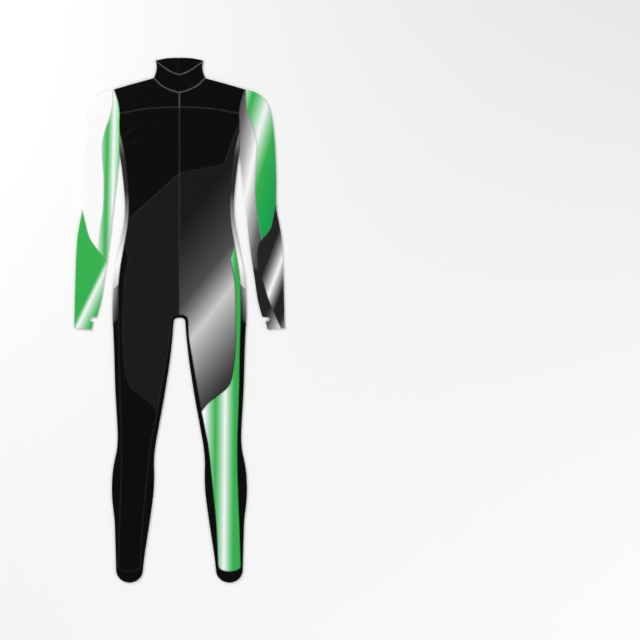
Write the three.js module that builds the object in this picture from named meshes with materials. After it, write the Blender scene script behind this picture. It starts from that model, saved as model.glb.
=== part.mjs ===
// Luge suit, laid out flat with its front face up and its arms and legs straight.
// Millimetres, +X to the right of someone who looks at the front, +Y towards the collar, +Z up.
// The origin is on the surface, below the middle of the suit.
// The wearer's right side is at -X and the left side at +X. The tables give half widths for one side.

import * as THREE from 'three';

// Driving dimensions

const CLOTH = 1.2;                 // thickness of the coated stretch cloth
const SUIT_HEIGHT = 5;             // two layers lying on each other, with the air a folded edge holds
const FOLD_RADIUS = SUIT_HEIGHT / 2;
const FOLD_FACETS = 2;             // facets in a quarter of a folded edge
const SEAM_GAP = 0.3;              // clearance between two pieces sewn together
const HALF_GAP = SEAM_GAP / 2;
const ARMPIT_GAP = 1.5;            // how far below the armpit the two folded edges start
const LONGEST_TRIM = 2.5;          // how far a sharp corner may draw back to keep the seam clearance
const LONGEST_FOLD_TRIM = 3;       // the same at a fold, in fold radii
const LONG_STEP = 26;              // spacing of the points along gentle edges
const SLEEVE_STEP = 19.8;          // along the outer edge of the sleeve
const FOREARM_STEP = 16.5;         // along the seams of the forearm
const SHORT_STEP = 11;             // along tight curves
const NOTCH_STEP = 4.5;            // along the thumb notch
const LENGTH_STEPS = 240;          // steps that measure the length of a curve
const LEVEL_ROUNDS = 40;           // halvings that find a level on a curve
const VERTEX_GRID = 0.002;         // vertices closer than this are one

const NECK_FRONT_Y = 695;          // front neck seam at the middle
const NECK_BACK_Y = 745;           // back neck seam at the middle
const COLLAR_FRONT_Y = 751;        // lowest point of the collar's front edge
const COLLAR_BACK_Y = 801;         // highest point of the collar's back edge
const YOKE_Y = 650;                // yoke seam at the middle of the chest
const DIAGONAL_Y = 449;            // diagonal front seam at the middle
const CROTCH_Y = 7.6;              // folded edge between the legs
const CROTCH_STRIP = 9;            // width of the back cloth that turns to the front at the crotch
const ARMHOLE_SIDE_Y = 574;        // where the side panel starts on the front armhole
const ARMPIT = point(183.3, 519.3);
const SHOULDER_TIP = point(199.5, 704.4);
const SLEEVE_SEAM_TOP = point(203, 703.3);
const DIAGONAL_LOW = point(156.2, 307.6);
const DIAGONAL_BEND = point(134.5, 474.4);
const DIAGONAL_HIGH_Y = 603.4;
const LEG_TIP_Y = 229.5;           // top of the front leg piece on the side seam
const LEG_TIP_INNER = point(155.6, 187.7);
const SHIN_POINT = point(67.5, -278);
const TAB_TOP = { inner: 107.5, outer: 91.4 };
const TAB_BOTTOM = { inner: 5.6, outer: -11.4 };
const BACK_WAIST_POINT = point(103.7, 381);
const BACK_HIP_POINT = point(180.9, -35);
const KNEE_BEND = point(154.6, -194.4);
const ANKLE = { outer: -750, outerSeam: -752.6, middle: -766.2, innerSeam: -748.9, inner: -747 };
const ANKLE_BACK_Y = -753;         // back ankle seam at the middle of the leg
const FOOT = { x: 152.3, y: -761.7, halfWidth: 41, length: 39 };
const ZIP = { top: 800.5, bottom: 255, halfWidth: 4.5, halfChain: 2.4, chainHeight: 1.8 };
const ZIP_STOP_LENGTH = 6;
const ZIP_SLIDER = { length: 11, height: 2.5 };
const SLEEVE_LEVELS = {            // where the forearm seams meet the outer and the inner folded edge
  right: { outer: 338.4, inner: 184 },
  left: { outer: 352, inner: 158 },
};

// The folded side edge, and the front seam of the side panel and the outer leg, from armpit to ankle
const SIDE = [
  { y: 574, edge: 183, seam: 182.5 },
  { y: 519.3, edge: 183.3, seam: 169 },
  { y: 458, edge: 175.5, seam: 161.5 },
  { y: 397, edge: 169, seam: 155.7 },
  { y: 351, edge: 166, seam: 154.2 },
  { y: 307.6, edge: 167.6, seam: 156.2 },
  { y: 260, edge: 175.1, seam: 162.9 },
  { y: 214, edge: 184.2, seam: 171.4 },
  { y: 168.5, edge: 193.4, seam: 179.3 },
  { y: 138, edge: 198.9, seam: 183.2 },
  { y: 107.5, edge: 201.6, seam: 186 },
  { y: 62, edge: 204, seam: 186.5 },
  { y: 1, edge: 204, seam: 186.4 },
  { y: -30, edge: 202, seam: 185.8 },
  { y: -91, edge: 199.5, seam: 184 },
  { y: -213, edge: 195.8, seam: 181.8 },
  { y: -304, edge: 190.6, seam: 178.6 },
  { y: -360, edge: 188.5, seam: 176.7 },
  { y: -396, edge: 191.2, seam: 176.3 },
  { y: -426, edge: 197.3, seam: 176.4 },
  { y: -457, edge: 202.8, seam: 176.9 },
  { y: -503, edge: 206, seam: 178.2 },
  { y: -548, edge: 205, seam: 179.8 },
  { y: -609, edge: 198.3, seam: 182.2 },
  { y: -670, edge: 195.8, seam: 184.2 },
  { y: -762, edge: 193.3, seam: 187.2 },
];

// The folded inner edge of the leg, and its front seam, from the crotch to the ankle
const INNER_LEG = [
  { y: 3, edge: 15.2, seam: 24.6 },
  { y: -5, edge: 17.4, seam: 26.4 },
  { y: -48, edge: 20.9, seam: 28.6 },
  { y: -121, edge: 29, seam: 40.1 },
  { y: -182, edge: 38.1, seam: 50.7 },
  { y: -243, edge: 47.9, seam: 61.3 },
  { y: -278, edge: 54.3, seam: 67.5 },
  { y: -335, edge: 64.7, seam: 79 },
  { y: -381, edge: 72.8, seam: 88 },
  { y: -426, edge: 77.2, seam: 93.3 },
  { y: -477, edge: 76.9, seam: 98.2 },
  { y: -518, edge: 78.4, seam: 102.5 },
  { y: -548, edge: 81.4, seam: 105.5 },
  { y: -612, edge: 90.1, seam: 111.9 },
  { y: -670, edge: 99.1, seam: 115.2 },
  { y: -731, edge: 108, seam: 117.8 },
  { y: -762, edge: 111.3, seam: 118.8 },
];

// The folded outer edge of the sleeve, from the shoulder to the cuff
const SLEEVE_OUTER = [
  { y: 704.4, edge: 199.5 },
  { y: 694.9, edge: 232.7 },
  { y: 679.7, edge: 255.3 },
  { y: 656.8, edge: 270.5 },
  { y: 623.9, edge: 280.6 },
  { y: 565.9, edge: 288.5 },
  { y: 505.2, edge: 292.7 },
  { y: 429.3, edge: 294.9 },
  { y: 338.4, edge: 296 },
  { y: 297.8, edge: 303.5 },
  { y: 252.4, edge: 311.1 },
  { y: 186.8, edge: 315.5 },
  { y: 125.8, edge: 317.5 },
  { y: -24.2, edge: 321.2 },
];

// The folded inner edge of the sleeve, from the armpit to the lip of the thumb notch
const SLEEVE_INNER = [
  { y: 519.3, edge: 183.3 },
  { y: 488.8, edge: 185.7 },
  { y: 427.8, edge: 191.8 },
  { y: 366.8, edge: 199.5 },
  { y: 305.8, edge: 206.2 },
  { y: 244.8, edge: 212.6 },
  { y: 183.8, edge: 220.8 },
  { y: 122.8, edge: 230 },
  { y: 61.8, edge: 239.1 },
  { y: 31.3, edge: 246.7 },
  { y: 10.2, edge: 252.8 },
];

// The thumb notch in the inner edge of the hand cover, from the upper lip to the lower one, and the cuff
const NOTCH = [
  point(252.8, 10.2), point(262, 9.9), point(271.5, 9), point(276.4, 5.2), point(274.5, 0.5),
  point(270, -2.6), point(263.5, -4.7),
];
const CUFF_INNER = point(268.7, -28.8);
const CUFF_OUTER = point(321.2, -24.2);

// The long seam of each sleeve, from the shoulder tip to the forearm piece
const RIGHT_SLEEVE_SEAM = [
  { y: 656.8, x: 204.2 }, { y: 621.4, x: 212.3 }, { y: 576, x: 227.5 }, { y: 540.6, x: 235.2 },
  { y: 515.3, x: 236.7 }, { y: 454.6, x: 231.8 }, { y: 399.1, x: 230.6 }, { y: 333.2, x: 233.6 },
  { y: 287.5, x: 240.3 }, { y: 214, x: 248.6 },
];
const LEFT_SLEEVE_SEAM = [
  { y: 666.9, x: 203.6 }, { y: 631.5, x: 208.9 }, { y: 601.3, x: 220.2 }, { y: 560.7, x: 232.7 },
  { y: 530.5, x: 236.4 }, { y: 469.9, x: 233.6 }, { y: 409.2, x: 231.2 }, { y: 353.3, x: 233.6 },
  { y: 297.8, x: 240.3 }, { y: 244, x: 250.4 },
];

// Cloth colours and finishes
const FINISH = {
  black: { color: 0x060606, roughness: 0.42, metalness: 0 },
  charcoal: { color: 0x1a1a1a, roughness: 0.45, metalness: 0 },
  white: { color: 0xf2f2f2, roughness: 0.4, metalness: 0 },
  silver: { color: 0xa0a0a0, roughness: 0.38, metalness: 0 },
  green: { color: 0x30af4b, roughness: 0.4, metalness: 0 },
  paleGreen: { color: 0x96e6a5, roughness: 0.4, metalness: 0 },
  zipTape: { color: 0x9b9b9b, roughness: 0.7, metalness: 0 },
  zipMetal: { color: 0xb4b4b8, roughness: 0.3, metalness: 0.9 },
};

// Points and lines in the plan

function point(x, y) {
  return new THREE.Vector2(x, y);
}

function curveThrough(points) {
  const knots = points.map((p) => new THREE.Vector3(p.x, p.y, 0));
  return new THREE.CatmullRomCurve3(knots, false, 'centripetal');
}

function columnCurve(table, column) {
  return curveThrough(table.map((row) => point(row[column], row.y)));
}

// The curve's parameter at a level, on a curve that runs down all the way
function parameterAt(curve, level) {
  let above = 0;
  let below = 1;
  for (let round = 0; round < LEVEL_ROUNDS; round += 1) {
    const middle = (above + below) / 2;
    if (curve.getPoint(middle).y > level) above = middle;
    else below = middle;
  }
  return (above + below) / 2;
}

// Points at even spacing along a part of a curve
function evenPoints(curve, from, to, step) {
  const trail = [];
  for (let i = 0; i <= LENGTH_STEPS; i += 1) {
    trail.push(curve.getPoint(from + ((to - from) * i) / LENGTH_STEPS));
  }
  const reach = [0];
  for (let i = 1; i <= LENGTH_STEPS; i += 1) reach.push(reach[i - 1] + trail[i].distanceTo(trail[i - 1]));
  const whole = reach[LENGTH_STEPS];
  const pieces = Math.max(1, Math.round(whole / step));
  const points = [];
  let i = 1;
  for (let k = 0; k <= pieces; k += 1) {
    const goal = (whole * k) / pieces;
    while (i < LENGTH_STEPS && reach[i] < goal) i += 1;
    const share = (goal - reach[i - 1]) / (reach[i] - reach[i - 1]);
    points.push(point(
      trail[i - 1].x + (trail[i].x - trail[i - 1].x) * share,
      trail[i - 1].y + (trail[i].y - trail[i - 1].y) * share,
    ));
  }
  return points;
}

function between(curve, upper, lower, step = LONG_STEP) {
  return evenPoints(curve, parameterAt(curve, upper), parameterAt(curve, lower), step);
}

function smooth(points, step = SHORT_STEP) {
  return evenPoints(curveThrough(points), 0, 1, step);
}

function reversed(points) {
  return [...points].reverse();
}

// Lines one after the other; each starts where the last one ends
function chained(...lines) {
  return lines.flatMap((line, index) => (index ? line.slice(1) : line));
}

function levelPoint(curve, level) {
  const p = curve.getPoint(parameterAt(curve, level));
  return point(p.x, p.y);
}

// A closed outline is a list of runs. A run is a seam or cut edge, or it is folded: 'joined' where the
// front and back layers are one piece, 'seamed' where another piece meets it halfway round the fold.
const seam = (...points) => ({ points: points.flat(), fold: null });
const joined = (points) => ({ points, fold: 'joined' });
const seamed = (points) => ({ points, fold: 'seamed' });

// Joins the runs into one loop, counterclockwise. Neighbouring runs share an end: the later seam leaves
// out its first point, and a seam leaves out its last one where a fold follows.
function closeLoop(runs) {
  const loop = runs.flatMap((run, index) => {
    if (run.fold) {
      const last = run.points.length - 1;
      return run.points.map((p, i) => ({ p, kind: run.fold, foldNext: i < last }));
    }
    const after = runs[(index + 1) % runs.length];
    const kept = run.points.slice(1, after.fold ? -1 : undefined);
    return kept.map((p) => ({ p, kind: null, foldNext: false }));
  });
  if (THREE.ShapeUtils.area(loop.map((vertex) => vertex.p)) > 0) return loop;
  const count = loop.length;
  const turned = loop.map((vertex, i) => ({ ...vertex, foldNext: loop[(i + count - 1) % count].foldNext }));
  return turned.reverse();
}

// Where two edge lines meet once each is moved inward by its own distance
function meetingPoint(before, here, after, insetBefore, insetAfter) {
  const a = here.clone().sub(before).normalize();
  const b = after.clone().sub(here).normalize();
  const normalA = point(-a.y, a.x);
  const normalB = point(-b.y, b.x);
  const cross = a.x * b.y - a.y * b.x;
  const nearlyStraight = 0.02;
  const shallowTurn = 0.4;
  if (insetBefore !== insetAfter && Math.abs(cross) < shallowTurn) {
    if (insetBefore > insetAfter) return here.clone().add(normalA.multiplyScalar(insetBefore));
    return here.clone().add(normalB.multiplyScalar(insetAfter));
  }
  if (Math.abs(cross) < nearlyStraight) {
    const move = normalA.multiplyScalar(insetBefore).add(normalB.multiplyScalar(insetAfter));
    return here.clone().add(move.divideScalar(2));
  }
  const startA = here.clone().add(normalA.multiplyScalar(insetBefore));
  const startB = here.clone().add(normalB.multiplyScalar(insetAfter));
  const gap = startB.clone().sub(startA);
  const along = (gap.x * b.y - gap.y * b.x) / cross;
  const met = startA.add(a.multiplyScalar(along));
  const move = met.clone().sub(here);
  const longest = Math.max(LONGEST_TRIM, insetBefore * LONGEST_FOLD_TRIM, insetAfter * LONGEST_FOLD_TRIM);
  return move.length() > longest ? here.clone().add(move.setLength(longest)) : met;
}

// One layer of one piece: the flat cloth and its quarter of each folded edge.
// face is 1 for the front layer, on top, and -1 for the back layer, on the surface.
function addLayer(sheet, face, runs) {
  const loop = closeLoop(runs);
  const count = loop.length;
  const flat = loop.map((vertex, i) => {
    const before = loop[(i + count - 1) % count];
    const after = loop[(i + 1) % count];
    const insetBefore = before.foldNext ? FOLD_RADIUS : HALF_GAP;
    const insetAfter = vertex.foldNext ? FOLD_RADIUS : HALF_GAP;
    return meetingPoint(before.p, vertex.p, after.p, insetBefore, insetAfter);
  });

  const place = (planOuter, planInner, rise) => sheet.vertex(
    new THREE.Vector3(planOuter.x, planOuter.y, FOLD_RADIUS + face * rise * FOLD_RADIUS),
    new THREE.Vector3(planInner.x, planInner.y, FOLD_RADIUS + face * rise * (FOLD_RADIUS - CLOTH)),
  );
  const rim = flat.map((p) => place(p, p, 1));
  const wind = (a, b, c) => (face > 0 ? sheet.triangle(a, b, c) : sheet.triangle(a, c, b));
  THREE.ShapeUtils.triangulateShape(flat, []).forEach(([a, b, c]) => wind(rim[a], rim[b], rim[c]));

  const innerShare = 1 - CLOTH / FOLD_RADIUS;
  const column = (i) => {
    const out = loop[i].p.clone().sub(flat[i]);
    const rows = [rim[i]];
    for (let k = 1; k <= FOLD_FACETS; k += 1) {
      const turn = (Math.PI / 2) * (k / FOLD_FACETS);
      const edgeRise = loop[i].kind === 'seamed' ? HALF_GAP / FOLD_RADIUS : 0;
      const rise = k === FOLD_FACETS ? edgeRise : Math.cos(turn);
      rows.push(place(
        flat[i].clone().add(out.clone().multiplyScalar(Math.sin(turn))),
        flat[i].clone().add(out.clone().multiplyScalar(Math.sin(turn) * innerShare)),
        rise,
      ));
    }
    return rows;
  };
  loop.forEach((vertex, i) => {
    const next = (i + 1) % count;
    if (!vertex.foldNext) return;
    const here = column(i);
    const there = column(next);
    for (let k = 0; k < FOLD_FACETS; k += 1) {
      wind(here[k], here[k + 1], there[k + 1]);
      wind(here[k], there[k + 1], there[k]);
    }
  });
}

// Gathers the outer skin of a piece with its inner partner, and closes it to a wall
class Sheet {
  constructor(side) {
    this.side = side;
    this.outer = [];
    this.inner = [];
    this.places = new Map();
    this.faces = [];
  }

  vertex(outer, inner) {
    const key = [outer.x, outer.y, outer.z].map((value) => Math.round(value / VERTEX_GRID)).join(' ');
    if (!this.places.has(key)) {
      this.places.set(key, this.outer.length);
      this.outer.push(outer);
      this.inner.push(inner);
    }
    return this.places.get(key);
  }

  triangle(a, b, c) {
    if (a !== b && b !== c && c !== a) this.faces.push([a, b, c]);
  }

  geometry() {
    const count = this.outer.length;
    const faces = [];
    const edges = new Map();
    this.faces.forEach(([a, b, c]) => {
      faces.push([a, b, c], [c + count, b + count, a + count]);
      [[a, b], [b, c], [c, a]].forEach(([from, to]) => edges.set(`${from} ${to}`, [from, to]));
    });
    edges.forEach(([from, to]) => {
      if (edges.has(`${to} ${from}`)) return;
      faces.push([to, from, from + count], [to, from + count, to + count]);
    });
    const positions = [];
    [...this.outer, ...this.inner].forEach((p) => positions.push(p.x * this.side, p.y, p.z));
    const index = faces.flatMap(([a, b, c]) => (this.side > 0 ? [a, b, c] : [a, c, b]));
    const geometry = new THREE.BufferGeometry();
    geometry.setAttribute('position', new THREE.Float32BufferAttribute(positions, 3));
    geometry.setIndex(index);
    geometry.computeVertexNormals();
    return geometry;
  }
}

const suit = new THREE.Group();

function addMesh(name, finish, geometry) {
  const mesh = new THREE.Mesh(geometry, new THREE.MeshStandardMaterial(FINISH[finish]));
  mesh.name = name;
  suit.add(mesh);
}

// A cloth piece from its layers, each a face and the runs of its outline
function addCloth(name, finish, side, layers) {
  const sheet = new Sheet(side);
  layers.forEach(([face, ...runs]) => addLayer(sheet, face, runs));
  addMesh(name, finish, sheet.geometry());
}

const FRONT = 1;
const BACK = -1;

// Lines that both sides of the suit share

const sideEdge = columnCurve(SIDE, 'edge');
const sideSeam = columnCurve(SIDE, 'seam');
const innerEdge = columnCurve(INNER_LEG, 'edge');
const innerSeam = columnCurve(INNER_LEG, 'seam');
const sleeveEdge = columnCurve(SLEEVE_OUTER, 'edge');
const underarmEdge = columnCurve(SLEEVE_INNER, 'edge');

const neckSide = point(78.1, 738.7);
const collarTip = point(72.3, 792.8);
const neckFront = smooth([neckSide, point(55.5, 716.9), point(24.4, 701.3), point(0, NECK_FRONT_Y)]);
const neckBack = smooth([neckSide, point(44, 743.6), point(ZIP.halfWidth, NECK_BACK_Y)]);
const shoulder = smooth([
  point(neckSide.x + HALF_GAP, neckSide.y), point(139, 722), point(SHOULDER_TIP.x - HALF_GAP, SHOULDER_TIP.y),
], LONG_STEP);
const collarSide = smooth([
  collarTip, point(69.6, 774.5), point(71.1, 758.9), point(neckSide.x, neckSide.y + SEAM_GAP),
]);
const collarTopFront = smooth([point(0, COLLAR_FRONT_Y), point(26, 761), point(55, 780), collarTip]);
const collarTopBack = smooth([point(ZIP.halfWidth, COLLAR_BACK_Y), point(38, 799.5), collarTip]);

const armhole = curveThrough([
  SHOULDER_TIP, point(195.5, 693.4), point(186, 662.6), point(182.1, 631.2), point(183, DIAGONAL_HIGH_Y),
  point(182.6, ARMHOLE_SIDE_Y), ARMPIT,
]);
const yokeEndY = 631.2;
const armholeYoke = between(armhole, SHOULDER_TIP.y, yokeEndY, SHORT_STEP);
const armholeChest = between(armhole, yokeEndY, DIAGONAL_HIGH_Y);
const armholeLower = between(armhole, DIAGONAL_HIGH_Y, ARMHOLE_SIDE_Y);
const armholeSide = between(armhole, ARMHOLE_SIDE_Y, ARMPIT.y);
const armholeFront = chained(armholeYoke, armholeChest, armholeLower, armholeSide);
const armholeBack = smooth([SHOULDER_TIP, point(194.5, 660), point(190, 590), ARMPIT], LONG_STEP);

const yokeEnd = armholeYoke[armholeYoke.length - 1];
const yokeSeam = smooth([point(0, YOKE_Y), point(50, 649), point(102.2, 645.2), yokeEnd], LONG_STEP);
const diagonalHigh = armholeChest[armholeChest.length - 1];
const sideTop = armholeLower[armholeLower.length - 1];

const seamChest = between(sideSeam, ARMHOLE_SIDE_Y, DIAGONAL_LOW.y);
const seamWaist = between(sideSeam, DIAGONAL_LOW.y, LEG_TIP_Y);
const seamHip = between(sideSeam, LEG_TIP_Y, TAB_TOP.inner);
const seamTab = between(sideSeam, TAB_TOP.inner, TAB_BOTTOM.inner);
const seamLeg = between(sideSeam, TAB_BOTTOM.inner, ANKLE.outerSeam);
seamChest[0] = sideTop;

const edgeSide = between(sideEdge, ARMPIT.y - ARMPIT_GAP, TAB_TOP.outer + HALF_GAP);
const edgeTab = between(sideEdge, TAB_TOP.outer - HALF_GAP, TAB_BOTTOM.outer + HALF_GAP);
const edgeLeg = between(sideEdge, TAB_BOTTOM.outer - HALF_GAP, ANKLE.outer + HALF_GAP);

// The arch between the legs is a quarter of a rounded square, and its front seam lies one strip inside it
function crotchArch(offset, steps) {
  const halfWidth = INNER_LEG[1].edge + offset;
  const height = CROTCH_Y - INNER_LEG[1].y + offset;
  const squareness = 0.75;
  const points = [];
  for (let k = 0; k <= steps; k += 1) {
    const turn = (Math.PI / 2) * (k / steps);
    points.push(point(
      halfWidth * Math.sin(turn) ** squareness,
      INNER_LEG[1].y + height * Math.cos(turn) ** squareness,
    ));
  }
  return points;
}
const archSteps = 6;
const archEdge = crotchArch(0, archSteps);
archEdge[0].x = HALF_GAP;
const archSeam = crotchArch(CROTCH_STRIP, archSteps);
const edgeInnerLeg = between(innerEdge, INNER_LEG[1].y, ANKLE.inner + HALF_GAP);
const edgeInner = [...archEdge.slice(0, -1), ...edgeInnerLeg];
const seamThigh = [...archSeam.slice(0, -1), ...between(innerSeam, INNER_LEG[1].y, SHIN_POINT.y)];
const seamShin = between(innerSeam, SHIN_POINT.y, ANKLE.innerSeam);

const thighPoint = seamThigh[seamThigh.length - 1];
const legTip = seamHip[0];
const legSeam = chained(
  smooth([
    LEG_TIP_INNER, point(167.4, 124), point(171.1, 55.7), point(171.1, -90.7), point(161.3, -172), KNEE_BEND,
  ], LONG_STEP),
  smooth([KNEE_BEND, point(143, -209.7), point(114.1, -232.9), point(87.5, -253.3), thighPoint], LONG_STEP),
);

const ankleOuter = point(levelPoint(sideEdge, ANKLE.outer).x, ANKLE.outer);
const ankleInner = point(levelPoint(innerEdge, ANKLE.inner).x, ANKLE.inner);
const ankleOuterSeam = seamLeg[seamLeg.length - 1];
const ankleInnerSeam = seamShin[seamShin.length - 1];
const ankleFront = smooth([
  ankleOuterSeam, point(178.2, -760.8), point(150.7, ANKLE.middle), point(125.6, -759.9), ankleInnerSeam,
]);
const ankleBack = smooth([ankleOuter, point(FOOT.x, ANKLE_BACK_Y), ankleInner], LONG_STEP);

// The toe end of the foot is half an ellipse
function toeEdge() {
  const steps = 14;
  const points = [point(ankleOuter.x, ANKLE.outer - HALF_GAP)];
  for (let k = 0; k <= steps; k += 1) {
    const turn = (Math.PI * k) / steps;
    points.push(point(FOOT.x + FOOT.halfWidth * Math.cos(turn), FOOT.y - FOOT.length * Math.sin(turn)));
  }
  points.push(point(ankleInner.x, ANKLE.inner - HALF_GAP));
  return points;
}
const edgeToe = toeEdge();

// Pieces of the body

const CENTRE_TOP = point(0, NECK_FRONT_Y);
const CENTRE_YOKE = point(0, YOKE_Y);
const CENTRE_DIAGONAL = point(0, DIAGONAL_Y);
const tabTopEnd = levelPoint(sideEdge, TAB_TOP.outer);
const tabBottomEnd = levelPoint(sideEdge, TAB_BOTTOM.outer);

function addBody(side, label, colours) {
  const bends = side > 0 ? [DIAGONAL_BEND, diagonalHigh] : [seamWaist[0]];
  const corners = [CENTRE_DIAGONAL, ...bends];
  const diagonal = chained(...corners.slice(1).map((corner, i) => smooth([corners[i], corner], LONG_STEP)));

  addCloth(`yoke_${label}`, 'black', side, [[
    FRONT, seam(neckFront), seam(CENTRE_TOP, CENTRE_YOKE), seam(yokeSeam), seam(reversed(armholeYoke)),
    seamed(reversed(shoulder)),
  ]]);

  // The diagonal ends at the armhole on the left and at the waist on the right
  const flank = [seam(armholeLower), seam(seamChest)];
  const chestFlank = side > 0 ? [] : flank;
  const lowerFlank = side > 0 ? flank : [];
  addCloth(`chest_${label}`, 'black', side, [[
    FRONT, seam(yokeSeam), seam(armholeChest), ...chestFlank, seam(reversed(diagonal)),
    seam(CENTRE_DIAGONAL, CENTRE_YOKE),
  ]]);
  addCloth(`front_lower_${label}`, colours.lower, side, [[
    FRONT, seam(diagonal), ...lowerFlank, seam(seamWaist), seam(legTip, LEG_TIP_INNER), seam(legSeam),
    seam(reversed(seamThigh)), seam(archSeam[0], CENTRE_DIAGONAL),
  ]]);

  addCloth(`front_leg_${label}`, colours.leg, side, [[
    FRONT, seam(seamHip), seam(seamTab), seam(seamLeg), seam(ankleFront), seam(reversed(seamShin)),
    seam(reversed(legSeam)), seam(LEG_TIP_INNER, legTip),
  ]]);

  addCloth(`side_panel_${label}`, 'silver', side, [
    [FRONT, seam(armholeSide), joined(edgeSide), seam(tabTopEnd, seamTab[0]), seam(reversed(seamHip)),
      seam(reversed(seamWaist)), seam(reversed(seamChest))],
    [BACK, joined(edgeSide), seamed(edgeTab), seam(tabBottomEnd, BACK_HIP_POINT, BACK_WAIST_POINT, ARMPIT)],
  ]);

  addCloth(`hip_tab_${label}`, 'silver', side, [[
    FRONT, seam(seamTab[0], tabTopEnd), seamed(edgeTab), seam(tabBottomEnd, seamLeg[0]),
    seam(reversed(seamTab)),
  ]]);

  const zipEdge = [
    point(0, CROTCH_Y), point(0, ZIP.bottom - ZIP.halfWidth), point(ZIP.halfWidth, ZIP.bottom),
    point(ZIP.halfWidth, NECK_BACK_Y),
  ];
  addCloth(`back_${label}`, 'black', side, [
    [BACK, seamed(shoulder), seam(armholeBack), seam(ARMPIT, BACK_WAIST_POINT, BACK_HIP_POINT, tabBottomEnd),
      joined(edgeLeg), seam(ankleBack), joined(reversed(edgeInner)), seam(zipEdge), seam(reversed(neckBack))],
    [FRONT, joined(edgeLeg), seam(ankleOuter, ankleOuterSeam), seam(reversed(seamLeg)),
      seam(seamLeg[0], tabBottomEnd)],
    [FRONT, joined(reversed(edgeInner)), seam(archEdge[0], archSeam[0]), seam(seamThigh), seam(seamShin),
      seam(ankleInnerSeam, ankleInner)],
  ]);

  addCloth(`foot_cap_${label}`, 'black', side, [
    [FRONT, seam(ankleInner, ankleInnerSeam), seam(reversed(ankleFront)), seam(ankleOuterSeam, ankleOuter),
      joined(edgeToe)],
    [BACK, seam(reversed(ankleBack)), joined(edgeToe)],
  ]);
}

// Pieces of the sleeves. Each seam runs round the sleeve, the same on both layers.

const notchEdge = smooth(NOTCH, NOTCH_STEP);
const handEdge = [NOTCH.at(-1), CUFF_INNER];
const ARMHOLES = [[FRONT, armholeFront], [BACK, armholeBack]];

function addRightSleeve(side) {
  const seamCurve = curveThrough([SLEEVE_SEAM_TOP, ...RIGHT_SLEEVE_SEAM.map((row) => point(row.x, row.y))]);
  const { outer: forearmTopY, inner: forearmInnerY } = SLEEVE_LEVELS.right;
  const longSeam = between(seamCurve, SLEEVE_SEAM_TOP.y, RIGHT_SLEEVE_SEAM.at(-1).y);
  const junction = longSeam[longSeam.length - 1];
  const outerEnd = levelPoint(sleeveEdge, forearmTopY);
  const innerEnd = levelPoint(underarmEdge, forearmInnerY);
  const forearmOuterSeam = smooth([outerEnd, point(287.5, 302), point(273.5, 251), junction], FOREARM_STEP);
  const forearmInnerSeam = smooth([junction, point(236, 200), innerEnd], FOREARM_STEP);
  const edgeUpper = between(sleeveEdge, SLEEVE_SEAM_TOP.y - SEAM_GAP, forearmTopY + HALF_GAP, SLEEVE_STEP);
  const edgeLower = between(sleeveEdge, forearmTopY - HALF_GAP, CUFF_OUTER.y);
  const underUpper = between(underarmEdge, ARMPIT.y - ARMPIT_GAP, forearmInnerY + HALF_GAP);
  const underLower = between(underarmEdge, forearmInnerY - HALF_GAP, NOTCH[0].y);

  addCloth('sleeve_right_outer', 'white', side, [FRONT, BACK].map((face) => [
    face, seam(longSeam), seam(reversed(forearmOuterSeam)), joined(reversed(edgeUpper)),
  ]));
  addCloth('sleeve_right_inner', 'paleGreen', side, ARMHOLES.map(([face, hole]) => [
    face, seam(hole), joined(underUpper), seam(reversed(forearmInnerSeam)), seam(reversed(longSeam)),
    seam(SLEEVE_SEAM_TOP, SHOULDER_TIP),
  ]));
  addCloth('sleeve_right_forearm', 'green', side, [FRONT, BACK].map((face) => [
    face, seam(forearmOuterSeam), seam(forearmInnerSeam), joined(underLower), seam(notchEdge),
    joined(handEdge), seam(CUFF_INNER, CUFF_OUTER), joined(reversed(edgeLower)),
  ]));
}

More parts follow.
